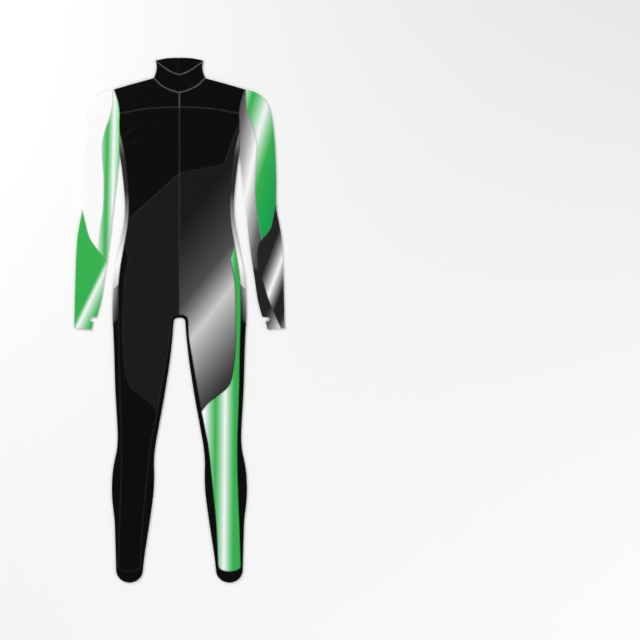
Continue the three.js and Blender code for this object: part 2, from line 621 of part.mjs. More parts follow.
function addLeftSleeve(side) {
  const seamCurve = curveThrough([SLEEVE_SEAM_TOP, ...LEFT_SLEEVE_SEAM.map((row) => point(row.x, row.y))]);
  const { outer: forearmTopY, inner: forearmInnerY } = SLEEVE_LEVELS.left;
  const longSeam = between(seamCurve, SLEEVE_SEAM_TOP.y, LEFT_SLEEVE_SEAM.at(-1).y);
  const junction = longSeam[longSeam.length - 1];
  const outerEnd = levelPoint(sleeveEdge, forearmTopY);
  const innerEnd = levelPoint(underarmEdge, forearmInnerY);
  const panelPoint = point(241.3, 151);
  const cuffPoint = point(310.6, -25.1);
  const forearmSeam = smooth([outerEnd, point(287.5, 316), point(277.5, 278), junction], FOREARM_STEP);
  const panelSeam = smooth([
    junction, point(242.8, 232), point(237.9, 208), point(238.9, 179), panelPoint,
  ], FOREARM_STEP);
  const diagonalSeam = smooth([panelPoint, point(254.1, 120.6), point(273.3, 59.9), cuffPoint], LONG_STEP);
  const edgeUpper = between(sleeveEdge, SLEEVE_SEAM_TOP.y - SEAM_GAP, forearmTopY + HALF_GAP, SLEEVE_STEP);
  const edgeLower = between(sleeveEdge, forearmTopY - HALF_GAP, CUFF_OUTER.y);
  const underUpper = between(underarmEdge, ARMPIT.y - ARMPIT_GAP, forearmInnerY + HALF_GAP);
  const underLower = between(underarmEdge, forearmInnerY - HALF_GAP, NOTCH[0].y);

  addCloth('sleeve_left_outer', 'green', side, [FRONT, BACK].map((face) => [
    face, seam(longSeam), seam(reversed(forearmSeam)), joined(reversed(edgeUpper)),
  ]));
  addCloth('sleeve_left_inner', 'silver', side, ARMHOLES.map(([face, hole]) => [
    face, seam(hole), joined(underUpper), seam(innerEnd, panelPoint), seam(reversed(panelSeam)),
    seam(reversed(longSeam)), seam(SLEEVE_SEAM_TOP, SHOULDER_TIP),
  ]));
  addCloth('sleeve_left_forearm_outer', 'silver', side, [FRONT, BACK].map((face) => [
    face, seam(forearmSeam), seam(panelSeam), seam(diagonalSeam), seam(cuffPoint, CUFF_OUTER),
    joined(reversed(edgeLower)),
  ]));
  addCloth('sleeve_left_forearm_inner', 'black', side, [FRONT, BACK].map((face) => [
    face, seam(reversed(diagonalSeam)), seam(panelPoint, innerEnd), joined(underLower), seam(notchEdge),
    joined(handEdge), seam(CUFF_INNER, cuffPoint),
  ]));
}

// The collar is one band with its opening at the zip

function addCollar() {
  const sheet = new Sheet(1);
  addLayer(sheet, FRONT, [
    seam(neckFront), seam(mirrored(neckFront)), joined(mirrored(collarSide)), seam(mirrored(collarTopFront)),
    seam(collarTopFront), joined(collarSide),
  ]);
  const leftHalf = [
    seam(neckBack), seam(point(ZIP.halfWidth, NECK_BACK_Y), point(ZIP.halfWidth, COLLAR_BACK_Y)),
    seam(collarTopBack), joined(collarSide),
  ];
  const rightHalf = leftHalf.map((run) => ({ ...run, points: mirrored(run.points) })).reverse();
  addLayer(sheet, BACK, leftHalf);
  addLayer(sheet, BACK, rightHalf);
  addMesh('collar', 'black', sheet.geometry());
}

function mirrored(points) {
  return reversed(points.map((p) => point(-p.x, p.y)));
}

// The back zip: two tapes, the closed chain, its bottom stop and a slider at the collar's edge

function addBlock(name, finish, x, y, z) {
  const geometry = new THREE.BoxGeometry(x[1] - x[0], y[1] - y[0], z[1] - z[0]);
  geometry.translate((x[0] + x[1]) / 2, (y[0] + y[1]) / 2, (z[0] + z[1]) / 2);
  addMesh(name, finish, geometry);
}

function addZip() {
  const tapeInner = ZIP.halfChain + SEAM_GAP;
  const tapeOuter = ZIP.halfWidth - HALF_GAP;
  const bottom = ZIP.bottom + SEAM_GAP;
  const chainBottom = ZIP.bottom + ZIP_STOP_LENGTH;
  const sliderBottom = ZIP.top - ZIP_SLIDER.length;
  const chain = [-ZIP.halfChain, ZIP.halfChain];
  const chainLength = [chainBottom + SEAM_GAP, sliderBottom - SEAM_GAP];
  addBlock('zip_tape_right', 'zipTape', [-tapeOuter, -tapeInner], [bottom, ZIP.top], [0, CLOTH]);
  addBlock('zip_tape_left', 'zipTape', [tapeInner, tapeOuter], [bottom, ZIP.top], [0, CLOTH]);
  addBlock('zip_chain', 'zipTape', chain, chainLength, [0, ZIP.chainHeight]);
  addBlock('zip_stop', 'zipMetal', chain, [bottom, chainBottom], [0, ZIP.chainHeight]);
  addBlock('zip_slider', 'zipMetal', chain, [sliderBottom, ZIP.top], [0, ZIP_SLIDER.height]);
}

addCollar();
addBody(-1, 'right', { lower: 'charcoal', leg: 'black' });
addBody(1, 'left', { lower: 'silver', leg: 'green' });
addRightSleeve(-1);
addLeftSleeve(1);
addZip();

export default suit;
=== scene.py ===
"""A luge suit laid out flat, front face up, arms and legs straight.

The plan of every seam and folded edge is given in millimetres as half widths, with y up from the
crotch. Finished meshes are in metres, +Z up, +Y towards the collar, the wearer's right side at -X.
"""

import bmesh
import bpy
import numpy as np
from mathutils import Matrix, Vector


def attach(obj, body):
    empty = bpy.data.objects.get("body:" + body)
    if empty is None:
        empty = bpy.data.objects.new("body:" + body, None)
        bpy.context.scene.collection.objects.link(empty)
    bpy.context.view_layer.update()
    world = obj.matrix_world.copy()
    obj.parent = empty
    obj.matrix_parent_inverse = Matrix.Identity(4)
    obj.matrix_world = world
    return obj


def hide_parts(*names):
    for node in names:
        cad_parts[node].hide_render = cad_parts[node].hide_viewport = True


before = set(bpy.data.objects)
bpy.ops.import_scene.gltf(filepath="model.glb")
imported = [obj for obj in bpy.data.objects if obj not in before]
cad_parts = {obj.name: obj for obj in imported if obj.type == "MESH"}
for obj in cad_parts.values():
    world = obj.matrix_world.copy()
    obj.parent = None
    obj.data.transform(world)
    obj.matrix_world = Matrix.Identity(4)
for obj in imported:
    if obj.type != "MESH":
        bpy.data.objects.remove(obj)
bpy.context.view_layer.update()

# Driving dimensions, in millimetres

MM = 0.001
CLOTH = 1.2
SUIT_HEIGHT = 5.0
FOLD_RADIUS = SUIT_HEIGHT / 2
GRID_STEP = 4.7
LINE_STEP = 3.0
SEAM_STEPS = np.array([0.7, 1.6, 2.8])     # rows and columns that stand close to every side
SHORT_STEP = 2.0                           # rows of lines that are too short for those
WIDEST_MARGIN = 0.3                        # share of a narrow patch that its close columns take
MATCH = 0.03                               # points closer than this are one
CURVE_STEPS = 32                           # points worked out between two given ones
ARC_STEPS = 24                             # points of a quarter turn

RIGHT, LEFT = -1, 1
FRONT, BACK = 1, -1

NECK_FRONT_Y = 695.0
NECK_BACK_Y = 745.0
COLLAR_FRONT_Y = 751.0
COLLAR_BACK_Y = 801.0
YOKE_Y = 650.0
DIAGONAL_Y = 449.0
CROTCH_Y = 7.6
CROTCH_STRIP = 9.0
ARMHOLE_SIDE_Y = 574.0
ARMPIT = (183.3, 519.3)
SHOULDER_TIP = (199.5, 704.4)
SLEEVE_SEAM_TOP = (203.0, 703.3)
DIAGONAL_LOW_Y = 307.6
DIAGONAL_BEND = (134.5, 474.4)
DIAGONAL_HIGH_Y = 603.4
LEG_TIP_Y = 229.5
LEG_TIP_INNER = (155.6, 187.7)
KNEE_BEND = (154.6, -194.4)
SHIN_POINT_Y = -278.0
TAB_TOP_INNER, TAB_TOP_OUTER = 107.5, 91.4
TAB_BOTTOM_INNER, TAB_BOTTOM_OUTER = 5.6, -11.4
BACK_WAIST_POINT = (103.7, 381.0)
BACK_HIP_POINT = (180.9, -35.0)
ANKLE_OUTER, ANKLE_OUTER_SEAM, ANKLE_MIDDLE = -750.0, -752.6, -766.2
ANKLE_INNER_SEAM, ANKLE_INNER, ANKLE_BACK = -748.9, -747.0, -753.0
FOOT_X, FOOT_Y, FOOT_HALF_WIDTH, FOOT_LENGTH = 152.3, -761.7, 41.0, 39.0
ZIP_BOTTOM, ZIP_HALF_WIDTH = 255.0, 4.5

# y, folded edge, front seam, from the armpit down the side to the ankle
SIDE = np.array([
    (574, 183, 182.5), (519.3, 183.3, 169), (458, 175.5, 161.5), (397, 169, 155.7), (351, 166, 154.2),
    (307.6, 167.6, 156.2), (260, 175.1, 162.9), (214, 184.2, 171.4), (168.5, 193.4, 179.3),
    (138, 198.9, 183.2), (107.5, 201.6, 186), (62, 204, 186.5), (1, 204, 186.4), (-30, 202, 185.8),
    (-91, 199.5, 184), (-213, 195.8, 181.8), (-304, 190.6, 178.6), (-360, 188.5, 176.7),
    (-396, 191.2, 176.3), (-426, 197.3, 176.4), (-457, 202.8, 176.9), (-503, 206, 178.2),
    (-548, 205, 179.8), (-609, 198.3, 182.2), (-670, 195.8, 184.2), (-762, 193.3, 187.2),
])

# y, folded edge, front seam, down the inside of the leg
INNER_LEG = np.array([
    (3, 15.2, 24.6), (-5, 17.4, 26.4), (-48, 20.9, 28.6), (-121, 29, 40.1), (-182, 38.1, 50.7),
    (-243, 47.9, 61.3), (-278, 54.3, 67.5), (-335, 64.7, 79), (-381, 72.8, 88), (-426, 77.2, 93.3),
    (-477, 76.9, 98.2), (-518, 78.4, 102.5), (-548, 81.4, 105.5), (-612, 90.1, 111.9),
    (-670, 99.1, 115.2), (-731, 108, 117.8), (-762, 111.3, 118.8),
])

# x, y of the sleeve's folded edges and of the seam along each sleeve
SLEEVE_OUTER = [
    (199.5, 704.4), (232.7, 694.9), (255.3, 679.7), (270.5, 656.8), (280.6, 623.9), (288.5, 565.9),
    (292.7, 505.2), (294.9, 429.3), (296, 338.4), (303.5, 297.8), (311.1, 252.4), (315.5, 186.8),
    (317.5, 125.8), (321.2, -24.2),
]
SLEEVE_INNER = [
    (183.3, 519.3), (185.7, 488.8), (191.8, 427.8), (199.5, 366.8), (206.2, 305.8), (212.6, 244.8),
    (220.8, 183.8), (230, 122.8), (239.1, 61.8), (246.7, 31.3), (252.8, 10.2),
]
SLEEVE_SEAM = {
    RIGHT: [
        SLEEVE_SEAM_TOP, (204.2, 656.8), (212.3, 621.4), (227.5, 576), (235.2, 540.6), (236.7, 515.3),
        (231.8, 454.6), (230.6, 399.1), (233.6, 333.2), (240.3, 287.5), (248.6, 214),
    ],
    LEFT: [
        SLEEVE_SEAM_TOP, (203.6, 666.9), (208.9, 631.5), (220.2, 601.3), (232.7, 560.7), (236.4, 530.5),
        (233.6, 469.9), (231.2, 409.2), (233.6, 353.3), (240.3, 297.8), (250.4, 244),
    ],
}
NOTCH = [(252.8, 10.2), (262, 9.9), (271.5, 9), (276.4, 5.2), (274.5, 0.5), (270, -2.6), (263.5, -4.7)]
NOTCH_DEEPEST_Y = 5.2
CUFF_INNER = (268.7, -28.8)
CUFF_OUTER = (321.2, -24.2)

# Lines in the plan

def length_along(line):
    """Distance from the first point to each point of a line."""
    return np.concatenate([[0.0], np.cumsum(np.hypot(*np.diff(line, axis=0).T))])

def sample(line, fractions):
    """Points at fractions of a line's length; a line of no length gives its one point."""
    reach = length_along(line)
    goal = np.asarray(fractions) * reach[-1]
    if reach[-1] == 0:
        return np.broadcast_to(line[0], goal.shape + (2,)).copy()
    return np.stack([np.interp(goal, reach, line[:, axis]) for axis in (0, 1)], axis=-1)

def even(line, spacing=LINE_STEP):
    """The same line with points at even spacing."""
    line = np.asarray(line, float)
    count = max(1, round(length_along(line)[-1] / spacing))
    return sample(line, np.linspace(0, 1, count + 1))

def curve(*points):
    """Centripetal Catmull-Rom curve: a cubic between neighbours, whose end slopes are chord slopes
    weighted by the square roots of the chord lengths."""
    p = np.asarray(points, float)
    p = np.vstack([2 * p[0] - p[1], p, 2 * p[-1] - p[-2]])
    p0, p1, p2, p3 = (q[:, None, :] for q in (p[:-3], p[1:-2], p[2:-1], p[3:]))
    k0, k1, k2 = (
        np.sqrt(np.linalg.norm(b - a, axis=-1, keepdims=True)) for a, b in ((p0, p1), (p1, p2), (p2, p3))
    )
    start = ((p1 - p0) / k0 - (p2 - p0) / (k0 + k1) + (p2 - p1) / k1) * k1
    end = ((p2 - p1) / k1 - (p3 - p1) / (k1 + k2) + (p3 - p2) / k2) * k1
    t = np.linspace(0, 1, CURVE_STEPS, endpoint=False)[None, :, None]
    trail = p1 + start * t + (3 * (p2 - p1) - 2 * start - end) * t**2 + (2 * (p1 - p2) + start + end) * t**3
    return even(np.vstack([trail.reshape(-1, 2), p[-2]]))

def straight(*points):
    """Straight stretches from point to point."""
    return join(*(even([a, b]) for a, b in zip(points, points[1:])))

def join(*lines):
    """Lines one after the other; each starts where the last one ends."""
    return np.vstack([lines[0]] + [line[1:] for line in lines[1:]])

def cut(line, top, bottom):
    """The part of a line that runs down between two levels."""
    place = np.arange(len(line))
    ends = np.interp([-top, -bottom], -line[:, 1], place)
    inside = place[(place > ends[0] + 1e-6) & (place < ends[1] - 1e-6)]
    along = np.concatenate([[ends[0]], inside, [ends[1]]])
    return np.stack([np.interp(along, place, line[:, axis]) for axis in (0, 1)], axis=-1)

def stretches(line, *levels):
    """The parts of a line from level to level, downwards."""
    return [cut(line, top, bottom) for top, bottom in zip(levels, levels[1:])]

def arch(offset):
    """A quarter of a rounded square between the legs, offset from the folded edge."""
    turn = np.linspace(0, np.pi / 2, ARC_STEPS + 1)
    half_width = INNER_LEG[1, 1] + offset
    rise = CROTCH_Y - INNER_LEG[1, 0] + offset
    squareness = 0.75
    points = np.stack([
        half_width * np.sin(turn) ** squareness,
        INNER_LEG[1, 0] + rise * np.abs(np.cos(turn)) ** squareness,
    ], axis=-1)
    points[-1] = half_width, INNER_LEG[1, 0]
    return points

side_edge = curve(*SIDE[:, [1, 0]])
side_seam = curve(*SIDE[:, [2, 0]])
inner_edge = curve(*INNER_LEG[:, [1, 0]])
inner_seam = curve(*INNER_LEG[:, [2, 0]])
sleeve_edge = curve(*SLEEVE_OUTER)
underarm_edge = curve(*SLEEVE_INNER)

neck_side, collar_tip = (78.1, 738.7), (72.3, 792.8)
neck_front = curve((0, NECK_FRONT_Y), (24.4, 701.3), (55.5, 716.9), neck_side)
neck_back = curve((ZIP_HALF_WIDTH, NECK_BACK_Y), (44, 743.6), neck_side)
shoulder = curve(neck_side, (139, 722), SHOULDER_TIP)
collar_side = curve(collar_tip, (69.6, 774.5), (71.1, 758.9), neck_side)
collar_top_front = curve((0, COLLAR_FRONT_Y), (26, 761), (55, 780), collar_tip)
collar_top_back = curve((ZIP_HALF_WIDTH, COLLAR_BACK_Y), (38, 799.5), collar_tip)

armhole = curve(
    SHOULDER_TIP, (195.5, 693.4), (186, 662.6), (182.1, 631.2), (183, DIAGONAL_HIGH_Y),
    (182.6, ARMHOLE_SIDE_Y), ARMPIT,
)
armhole_back = curve(SHOULDER_TIP, (194.5, 660), (190, 590), ARMPIT)
yoke_end_y = 631.2
armhole_yoke, armhole_chest, armhole_lower, armhole_side = stretches(
    armhole, SHOULDER_TIP[1], yoke_end_y, DIAGONAL_HIGH_Y, ARMHOLE_SIDE_Y, ARMPIT[1],
)
yoke_seam = curve((0, YOKE_Y), (50, 649), (102.2, 645.2), armhole_yoke[-1])

side_top = armhole_lower[-1]
seam_chest, seam_waist, seam_hip, seam_tab, seam_leg = stretches(
    side_seam, ARMHOLE_SIDE_Y, DIAGONAL_LOW_Y, LEG_TIP_Y, TAB_TOP_INNER, TAB_BOTTOM_INNER, ANKLE_OUTER_SEAM,
)
seam_chest[0] = side_top
edge_side, edge_tab, edge_leg = stretches(
    side_edge, ARMPIT[1], TAB_TOP_OUTER, TAB_BOTTOM_OUTER, ANKLE_OUTER,
)
edge_side[0] = ARMPIT
diagonal = {
    RIGHT: straight((0, DIAGONAL_Y), seam_waist[0]),
    LEFT: straight((0, DIAGONAL_Y), DIAGONAL_BEND, armhole_chest[-1]),
}

edge_inner = join(arch(0), cut(inner_edge, INNER_LEG[1, 0], ANKLE_INNER))
arch_seam = arch(CROTCH_STRIP)
seam_thigh = join(arch_seam, cut(inner_seam, INNER_LEG[1, 0], SHIN_POINT_Y))
seam_shin = cut(inner_seam, SHIN_POINT_Y, ANKLE_INNER_SEAM)
knee_seam = curve(KNEE_BEND, (143, -209.7), (114.1, -232.9), (87.5, -253.3), seam_thigh[-1])
thigh_seam = curve(LEG_TIP_INNER, (167.4, 124), (171.1, 55.7), (171.1, -90.7), (161.3, -172), KNEE_BEND)
tip_seam = straight(LEG_TIP_INNER, seam_hip[0])

ankle_outer, ankle_inner = edge_leg[-1], edge_inner[-1]
ankle_front = curve(seam_shin[-1], (125.6, -759.9), (150.7, ANKLE_MIDDLE), (178.2, -760.8), seam_leg[-1])
ankle_back = curve(ankle_inner, (FOOT_X, ANKLE_BACK), ankle_outer)
toe_inner = straight(ankle_inner, (FOOT_X - FOOT_HALF_WIDTH, FOOT_Y))
toe_outer = straight(ankle_outer, (FOOT_X + FOOT_HALF_WIDTH, FOOT_Y))
toe_turn = np.linspace(np.pi, 0, 2 * ARC_STEPS + 1)
toe_edge = even(np.stack([
    FOOT_X + FOOT_HALF_WIDTH * np.cos(toe_turn), FOOT_Y - FOOT_LENGTH * np.sin(toe_turn),
], axis=-1))

# Where the cuts of the long pieces lie inside them; the first one starts at the crotch
crotch_level = 20.0
outer_ankle_points = 4
thigh_seam_upper, thigh_seam_lower = stretches(thigh_seam, LEG_TIP_INNER[1], crotch_level, KNEE_BEND[1])
front_crotch_line = curve((0, CROTCH_Y + CROTCH_STRIP), (32, 42), (90, 36), thigh_seam_lower[0])
back_crotch_line = curve((0, CROTCH_Y), (28, 38), (80, 26), BACK_HIP_POINT)
ankle_back_inner = ankle_back[:1 - outer_ankle_points]
ankle_back_outer = ankle_back[-outer_ankle_points:]
back_leg_line = curve(
    BACK_HIP_POINT, (174, -213), (167, -360), (176, -503), (175, -670), ankle_back_outer[0],
)
below_zip = straight((0, ZIP_BOTTOM - ZIP_HALF_WIDTH), (0, CROTCH_Y))

# Sleeves: levels and lines that differ between the two
sleeve_seam = {side: curve(*points) for side, points in SLEEVE_SEAM.items()}
FOREARM_TOP = {RIGHT: 338.4, LEFT: 352.0}
FOREARM_INNER = {RIGHT: 184.0, LEFT: 158.0}
edge_sleeve, edge_forearm, under_sleeve, under_forearm = {}, {}, {}, {}
for side in (RIGHT, LEFT):
    edge_sleeve[side], edge_forearm[side] = stretches(
        sleeve_edge, SLEEVE_SEAM_TOP[1], FOREARM_TOP[side], CUFF_OUTER[1],
    )
    edge_sleeve[side][0] = SLEEVE_SEAM_TOP
    under_sleeve[side], under_forearm[side] = stretches(
        underarm_edge, ARMPIT[1], FOREARM_INNER[side], NOTCH[0][1],
    )
forearm_seam = {
    RIGHT: curve(sleeve_seam[RIGHT][-1], (273.5, 251), (287.5, 302), edge_sleeve[RIGHT][-1]),
    LEFT: curve(sleeve_seam[LEFT][-1], (277.5, 278), (287.5, 316), edge_sleeve[LEFT][-1]),
}
forearm_inner_seam = curve(under_sleeve[RIGHT][-1], (236, 200), sleeve_seam[RIGHT][-1])
panel_point, cuff_point = (241.3, 151.0), (310.6, -25.1)
panel_seam = curve(sleeve_seam[LEFT][-1], (242.8, 232), (237.9, 208), (238.9, 179), panel_point)
forearm_diagonal = curve(panel_point, (254.1, 120.6), (273.3, 59.9), cuff_point)
notch_upper, notch_lower = stretches(curve(*NOTCH), NOTCH[0][1], NOTCH_DEEPEST_Y, NOTCH[-1][1])
hand_edge = straight(NOTCH[-1], CUFF_INNER)

FOLDS = [
    shoulder, collar_side, edge_side, edge_tab, edge_leg, edge_inner, toe_inner, toe_outer, toe_edge,
    sleeve_edge, underarm_edge, hand_edge,
]

# Seam lines by side and face, for the groove and the stitching
centre_seam = straight((0, NECK_FRONT_Y), (0, CROTCH_Y + CROTCH_STRIP))
tab_seams = [straight(edge_side[-1], seam_tab[0]), straight(edge_tab[-1], seam_leg[0])]
back_seams = [armhole_back, straight(ARMPIT, BACK_WAIST_POINT, BACK_HIP_POINT, edge_tab[-1]), neck_back]
BODY_SEAMS = {
    FRONT: [
        centre_seam, neck_front, yoke_seam, armhole, seam_chest, seam_waist, seam_hip, seam_tab, seam_leg,
        tip_seam, thigh_seam, knee_seam, seam_thigh, seam_shin, ankle_front, *tab_seams,
    ],
    BACK: [*back_seams, below_zip, ankle_back],
}
SLEEVE_SEAMS = {
    RIGHT: [sleeve_seam[RIGHT], forearm_seam[RIGHT], forearm_inner_seam],
    LEFT: [
        sleeve_seam[LEFT], forearm_seam[LEFT], panel_seam, forearm_diagonal,
        straight(under_sleeve[LEFT][-1], panel_point),
    ],
}
SEAMS = {
    (side, face): BODY_SEAMS[face] + SLEEVE_SEAMS[side] + ([diagonal[side]] if face == FRONT else [])
    for side in (RIGHT, LEFT) for face in (FRONT, BACK)
}

# Heights over the plan

def distance(points, lines, farthest=12.0):
    """Distance from each point to the nearest of the lines' straight pieces, up to a farthest one.
    Neighbouring points are taken together, with only the pieces that can be near them."""
    start = np.vstack([line[:-1] for line in lines])
    run = np.vstack([np.diff(line, axis=0) for line in lines])
    square = np.maximum((run**2).sum(axis=1), 1e-12)
    low, high = np.minimum(start, start + run) - farthest, np.maximum(start, start + run) + farthest
    found = np.full(len(points), farthest)
    block = 240
    for first in range(0, len(points), block):
        part = points[first:first + block]
        near = ((low <= part.max(axis=0)) & (high >= part.min(axis=0))).all(axis=1)
        if not near.any():
            continue
        away = part[:, None, :] - start[near]
        share = np.clip((away * run[near]).sum(axis=2) / square[near], 0, 1)
        nearest = ((away - share[..., None] * run[near]) ** 2).sum(axis=2).min(axis=1)
        found[first:first + block] = np.minimum(np.sqrt(nearest), farthest)
    return found

def ramp(value):
    """Smooth step from 0 to 1."""
    value = np.clip(value, 0, 1)
    return value * value * (3 - 2 * value)

# Creases: side or both, face, the ends of the line (x half width, y), width, depth and sideways bow
BOTH = 0
CENTRE_CALM = 8.0                          # no crease crosses the centre line within this half width
LEFT_START, LEFT_END = (3, -5), (-4, 6)    # how the ends of a crease on both sides differ on the left
CREASE_OVERRUN, CREASE_FADE = 0.16, 0.4    # how far a crease runs past its ends, and fades, by its length
RIDGE_HEIGHT, RIDGE_PLACE = 0.62, 1.7      # the ridge beside a trough, by the trough's depth and width
CREASES = [
    (BOTH, FRONT, (176, 560), (118, 604), 7.0, 1.0, 6.0),
    (RIGHT, FRONT, (178, 532), (128, 560), 6.0, 0.9, -5.0),
    (LEFT, FRONT, (179, 540), (121, 548), 6.5, 1.0, 7.0),
    (BOTH, FRONT, (168, 500), (140, 470), 5.5, 0.6, 3.0),
    (RIGHT, FRONT, (150, 372), (62, 352), 8.0, 0.8, 8.0),
    (LEFT, FRONT, (152, 356), (50, 341), 8.5, 0.9, -7.0),
    (LEFT, FRONT, (150, 321), (96, 333), 6.0, 0.6, 4.0),
    (RIGHT, FRONT, (118, 318), (40, 330), 7.0, 0.6, -5.0),
    (BOTH, FRONT, (34, 22), (104, 74), 7.5, 1.1, 8.0),
    (RIGHT, FRONT, (30, -8), (112, 12), 7.0, 1.0, -7.0),
    (LEFT, FRONT, (31, -14), (120, 22), 7.5, 1.1, -8.0),
    (BOTH, FRONT, (36, -60), (100, -44), 6.0, 0.6, 5.0),
    (RIGHT, FRONT, (72, -322), (158, -338), 8.0, 1.0, 7.0),
    (LEFT, FRONT, (74, -330), (160, -316), 7.5, 0.9, -6.0),
    (BOTH, FRONT, (84, -362), (150, -372), 6.5, 0.8, 5.0),
    (LEFT, FRONT, (88, -396), (168, -384), 6.0, 0.7, 4.0),
    (RIGHT, FRONT, (104, -402), (172, -396), 6.0, 0.6, -4.0),
    (BOTH, FRONT, (108, -700), (172, -708), 5.0, 0.7, 4.0),
    (LEFT, FRONT, (116, -676), (180, -668), 5.5, 0.7, -4.0),
    (RIGHT, FRONT, (118, -724), (182, -730), 4.5, 0.6, 3.0),
    (RIGHT, FRONT, (236, 352), (284, 372), 7.0, 0.9, 5.0),
    (LEFT, FRONT, (232, 360), (286, 340), 7.0, 0.9, -5.0),
    (BOTH, FRONT, (214, 318), (268, 322), 6.5, 0.8, 4.0),
    (LEFT, FRONT, (222, 284), (282, 300), 6.0, 0.7, 5.0),
    (RIGHT, FRONT, (220, 270), (270, 292), 6.0, 0.7, -4.0),
    (RIGHT, FRONT, (196, 524), (238, 566), 6.5, 0.9, -6.0),
    (LEFT, FRONT, (197, 520), (240, 552), 6.5, 0.9, 6.0),
    (BOTH, FRONT, (200, 610), (238, 640), 6.0, 0.6, 5.0),
    (BOTH, FRONT, (262, 60), (310, 66), 5.0, 0.6, 3.0),
    (BOTH, FRONT, (10, 712), (66, 752), 5.0, 0.5, 4.0),
    (BOTH, BACK, (172, 500), (96, 540), 8.0, 0.9, 6.0),
    (BOTH, BACK, (180, 560), (120, 600), 7.0, 0.7, -5.0),
    (RIGHT, BACK, (150, 360), (30, 348), 9.0, 0.9, 8.0),
    (LEFT, BACK, (148, 344), (26, 352), 9.0, 0.9, -8.0),
    (BOTH, BACK, (160, 310), (70, 322), 7.0, 0.6, 5.0),
    (BOTH, BACK, (26, 10), (120, 40), 8.0, 1.0, 8.0),
    (BOTH, BACK, (30, -40), (150, -70), 8.0, 0.8, -8.0),
    (BOTH, BACK, (72, -326), (176, -340), 8.0, 1.0, 6.0),
    (BOTH, BACK, (80, -366), (180, -362), 7.0, 0.9, -6.0),
    (BOTH, BACK, (108, -700), (180, -694), 5.0, 0.6, 4.0),
    (BOTH, BACK, (226, 340), (286, 356), 7.0, 0.8, 5.0),
    (BOTH, BACK, (214, 300), (280, 296), 6.5, 0.7, -4.0),
]

def crease_depth(plan, side, face):
    """How far the cloth sinks in. Each crease is a trough, the bell exp(-t^2) across its bowed line,
    with a lower ridge along one flank, and it fades in and out along the line."""
    depth = np.zeros(len(plan))
    for on_side, on_face, start, end, width, deepest, bow in CREASES:
        if on_face != face or on_side not in (BOTH, side):
            continue
        start, end = np.array(start, float), np.array(end, float)
        if on_side == BOTH and side == LEFT:
            start, end, bow = start + LEFT_START, end + LEFT_END, -bow
        reach = np.hypot(*(end - start))
        along = (end - start) / reach
        across = np.array([-along[1], along[0]])
        s = (plan - start) @ along / reach
        t = (plan - start) @ across + bow * (1 - (2 * np.clip(s, 0, 1) - 1) ** 2)
        wander = 1 + 0.22 * np.sin(7 * s + start[0]) + 0.12 * np.sin(17 * s + start[1])
        fade = ramp((s + CREASE_OVERRUN) / CREASE_FADE) * ramp((1 + CREASE_OVERRUN - s) / CREASE_FADE)
        t = t / (width * (0.8 + 0.5 * np.clip(s, 0, 1)))
        trough = np.exp(-(t**2)) - RIDGE_HEIGHT * np.exp(-((t - RIDGE_PLACE) ** 2))
        depth += deepest * fade * wander * trough
    return depth * ramp(plan[:, 0] / CENTRE_CALM)

GROOVE_DEPTH, GROOVE_WIDTH = 0.34, 0.9
LIP_HEIGHT, LIP_PLACE, LIP_WIDTH = 0.26, 2.6, 1.5
FLAT_START, FLAT_REACH = 0.4, 7.0          # by the fold radius from a folded edge, and how fast after it
WAVES = [(0.16, 31, 57, 0), (0.13, -45, 38, 2), (0.09, 23, 17, 0)]    # height, run over x and y, phase

def seam_profile(gap):
    """The groove at a seam, and the doubled cloth beside it that stands a little proud."""
    groove = GROOVE_DEPTH * np.exp(-((gap / GROOVE_WIDTH) ** 2))
    return groove - LIP_HEIGHT * np.exp(-(((gap - LIP_PLACE) / LIP_WIDTH) ** 2))

def slow_waves(plan, side):
    """Long, low waves over the whole suit, height * sin(x / run + y / run + phase) each, so that no panel
    is a board."""
    x, y = plan[:, 0] * side, plan[:, 1]
    return sum(height * np.sin(x / over_x + y / over_y + phase) for height, over_x, over_y, phase in WAVES)

def surface(plan, side, face):
    """Height of the cloth's outer face over the plan (half widths). It falls on a quarter circle within
    one fold radius of a folded edge, and creases and seams sink in where the cloth is flat."""
    fold_gap = distance(plan, FOLDS)
    inward = np.clip(1 - fold_gap / FOLD_RADIUS, 0, 1)
    rise = np.sqrt(1 - inward**2)
    flat = ramp((fold_gap - FLAT_START * FOLD_RADIUS) / FLAT_REACH)
    depth = crease_depth(plan, side, face) + slow_waves(plan, side)
    depth = depth + seam_profile(distance(plan, SEAMS[side, face]))
    if face == BACK:
        depth = np.maximum(depth, 0)
    return FOLD_RADIUS + face * (rise * FOLD_RADIUS - flat * depth)

# Cloth pieces: patches over the plan, welded and given their wall

def graded(line):
    """Fractions of a line's length, close together at both ends and even between."""
    reach = length_along(line)[-1]
    if reach < 4 * SEAM_STEPS[-1]:
        return np.linspace(0, 1, max(2, int(np.ceil(reach / SHORT_STEP))) + 1)
    ends = SEAM_STEPS / reach
    middle = np.linspace(ends[-1], 1 - ends[-1], int(np.ceil(reach / GRID_STEP)) + 1)
    return np.concatenate([[0], ends[:-1], middle, 1 - ends[-2::-1], [1]])

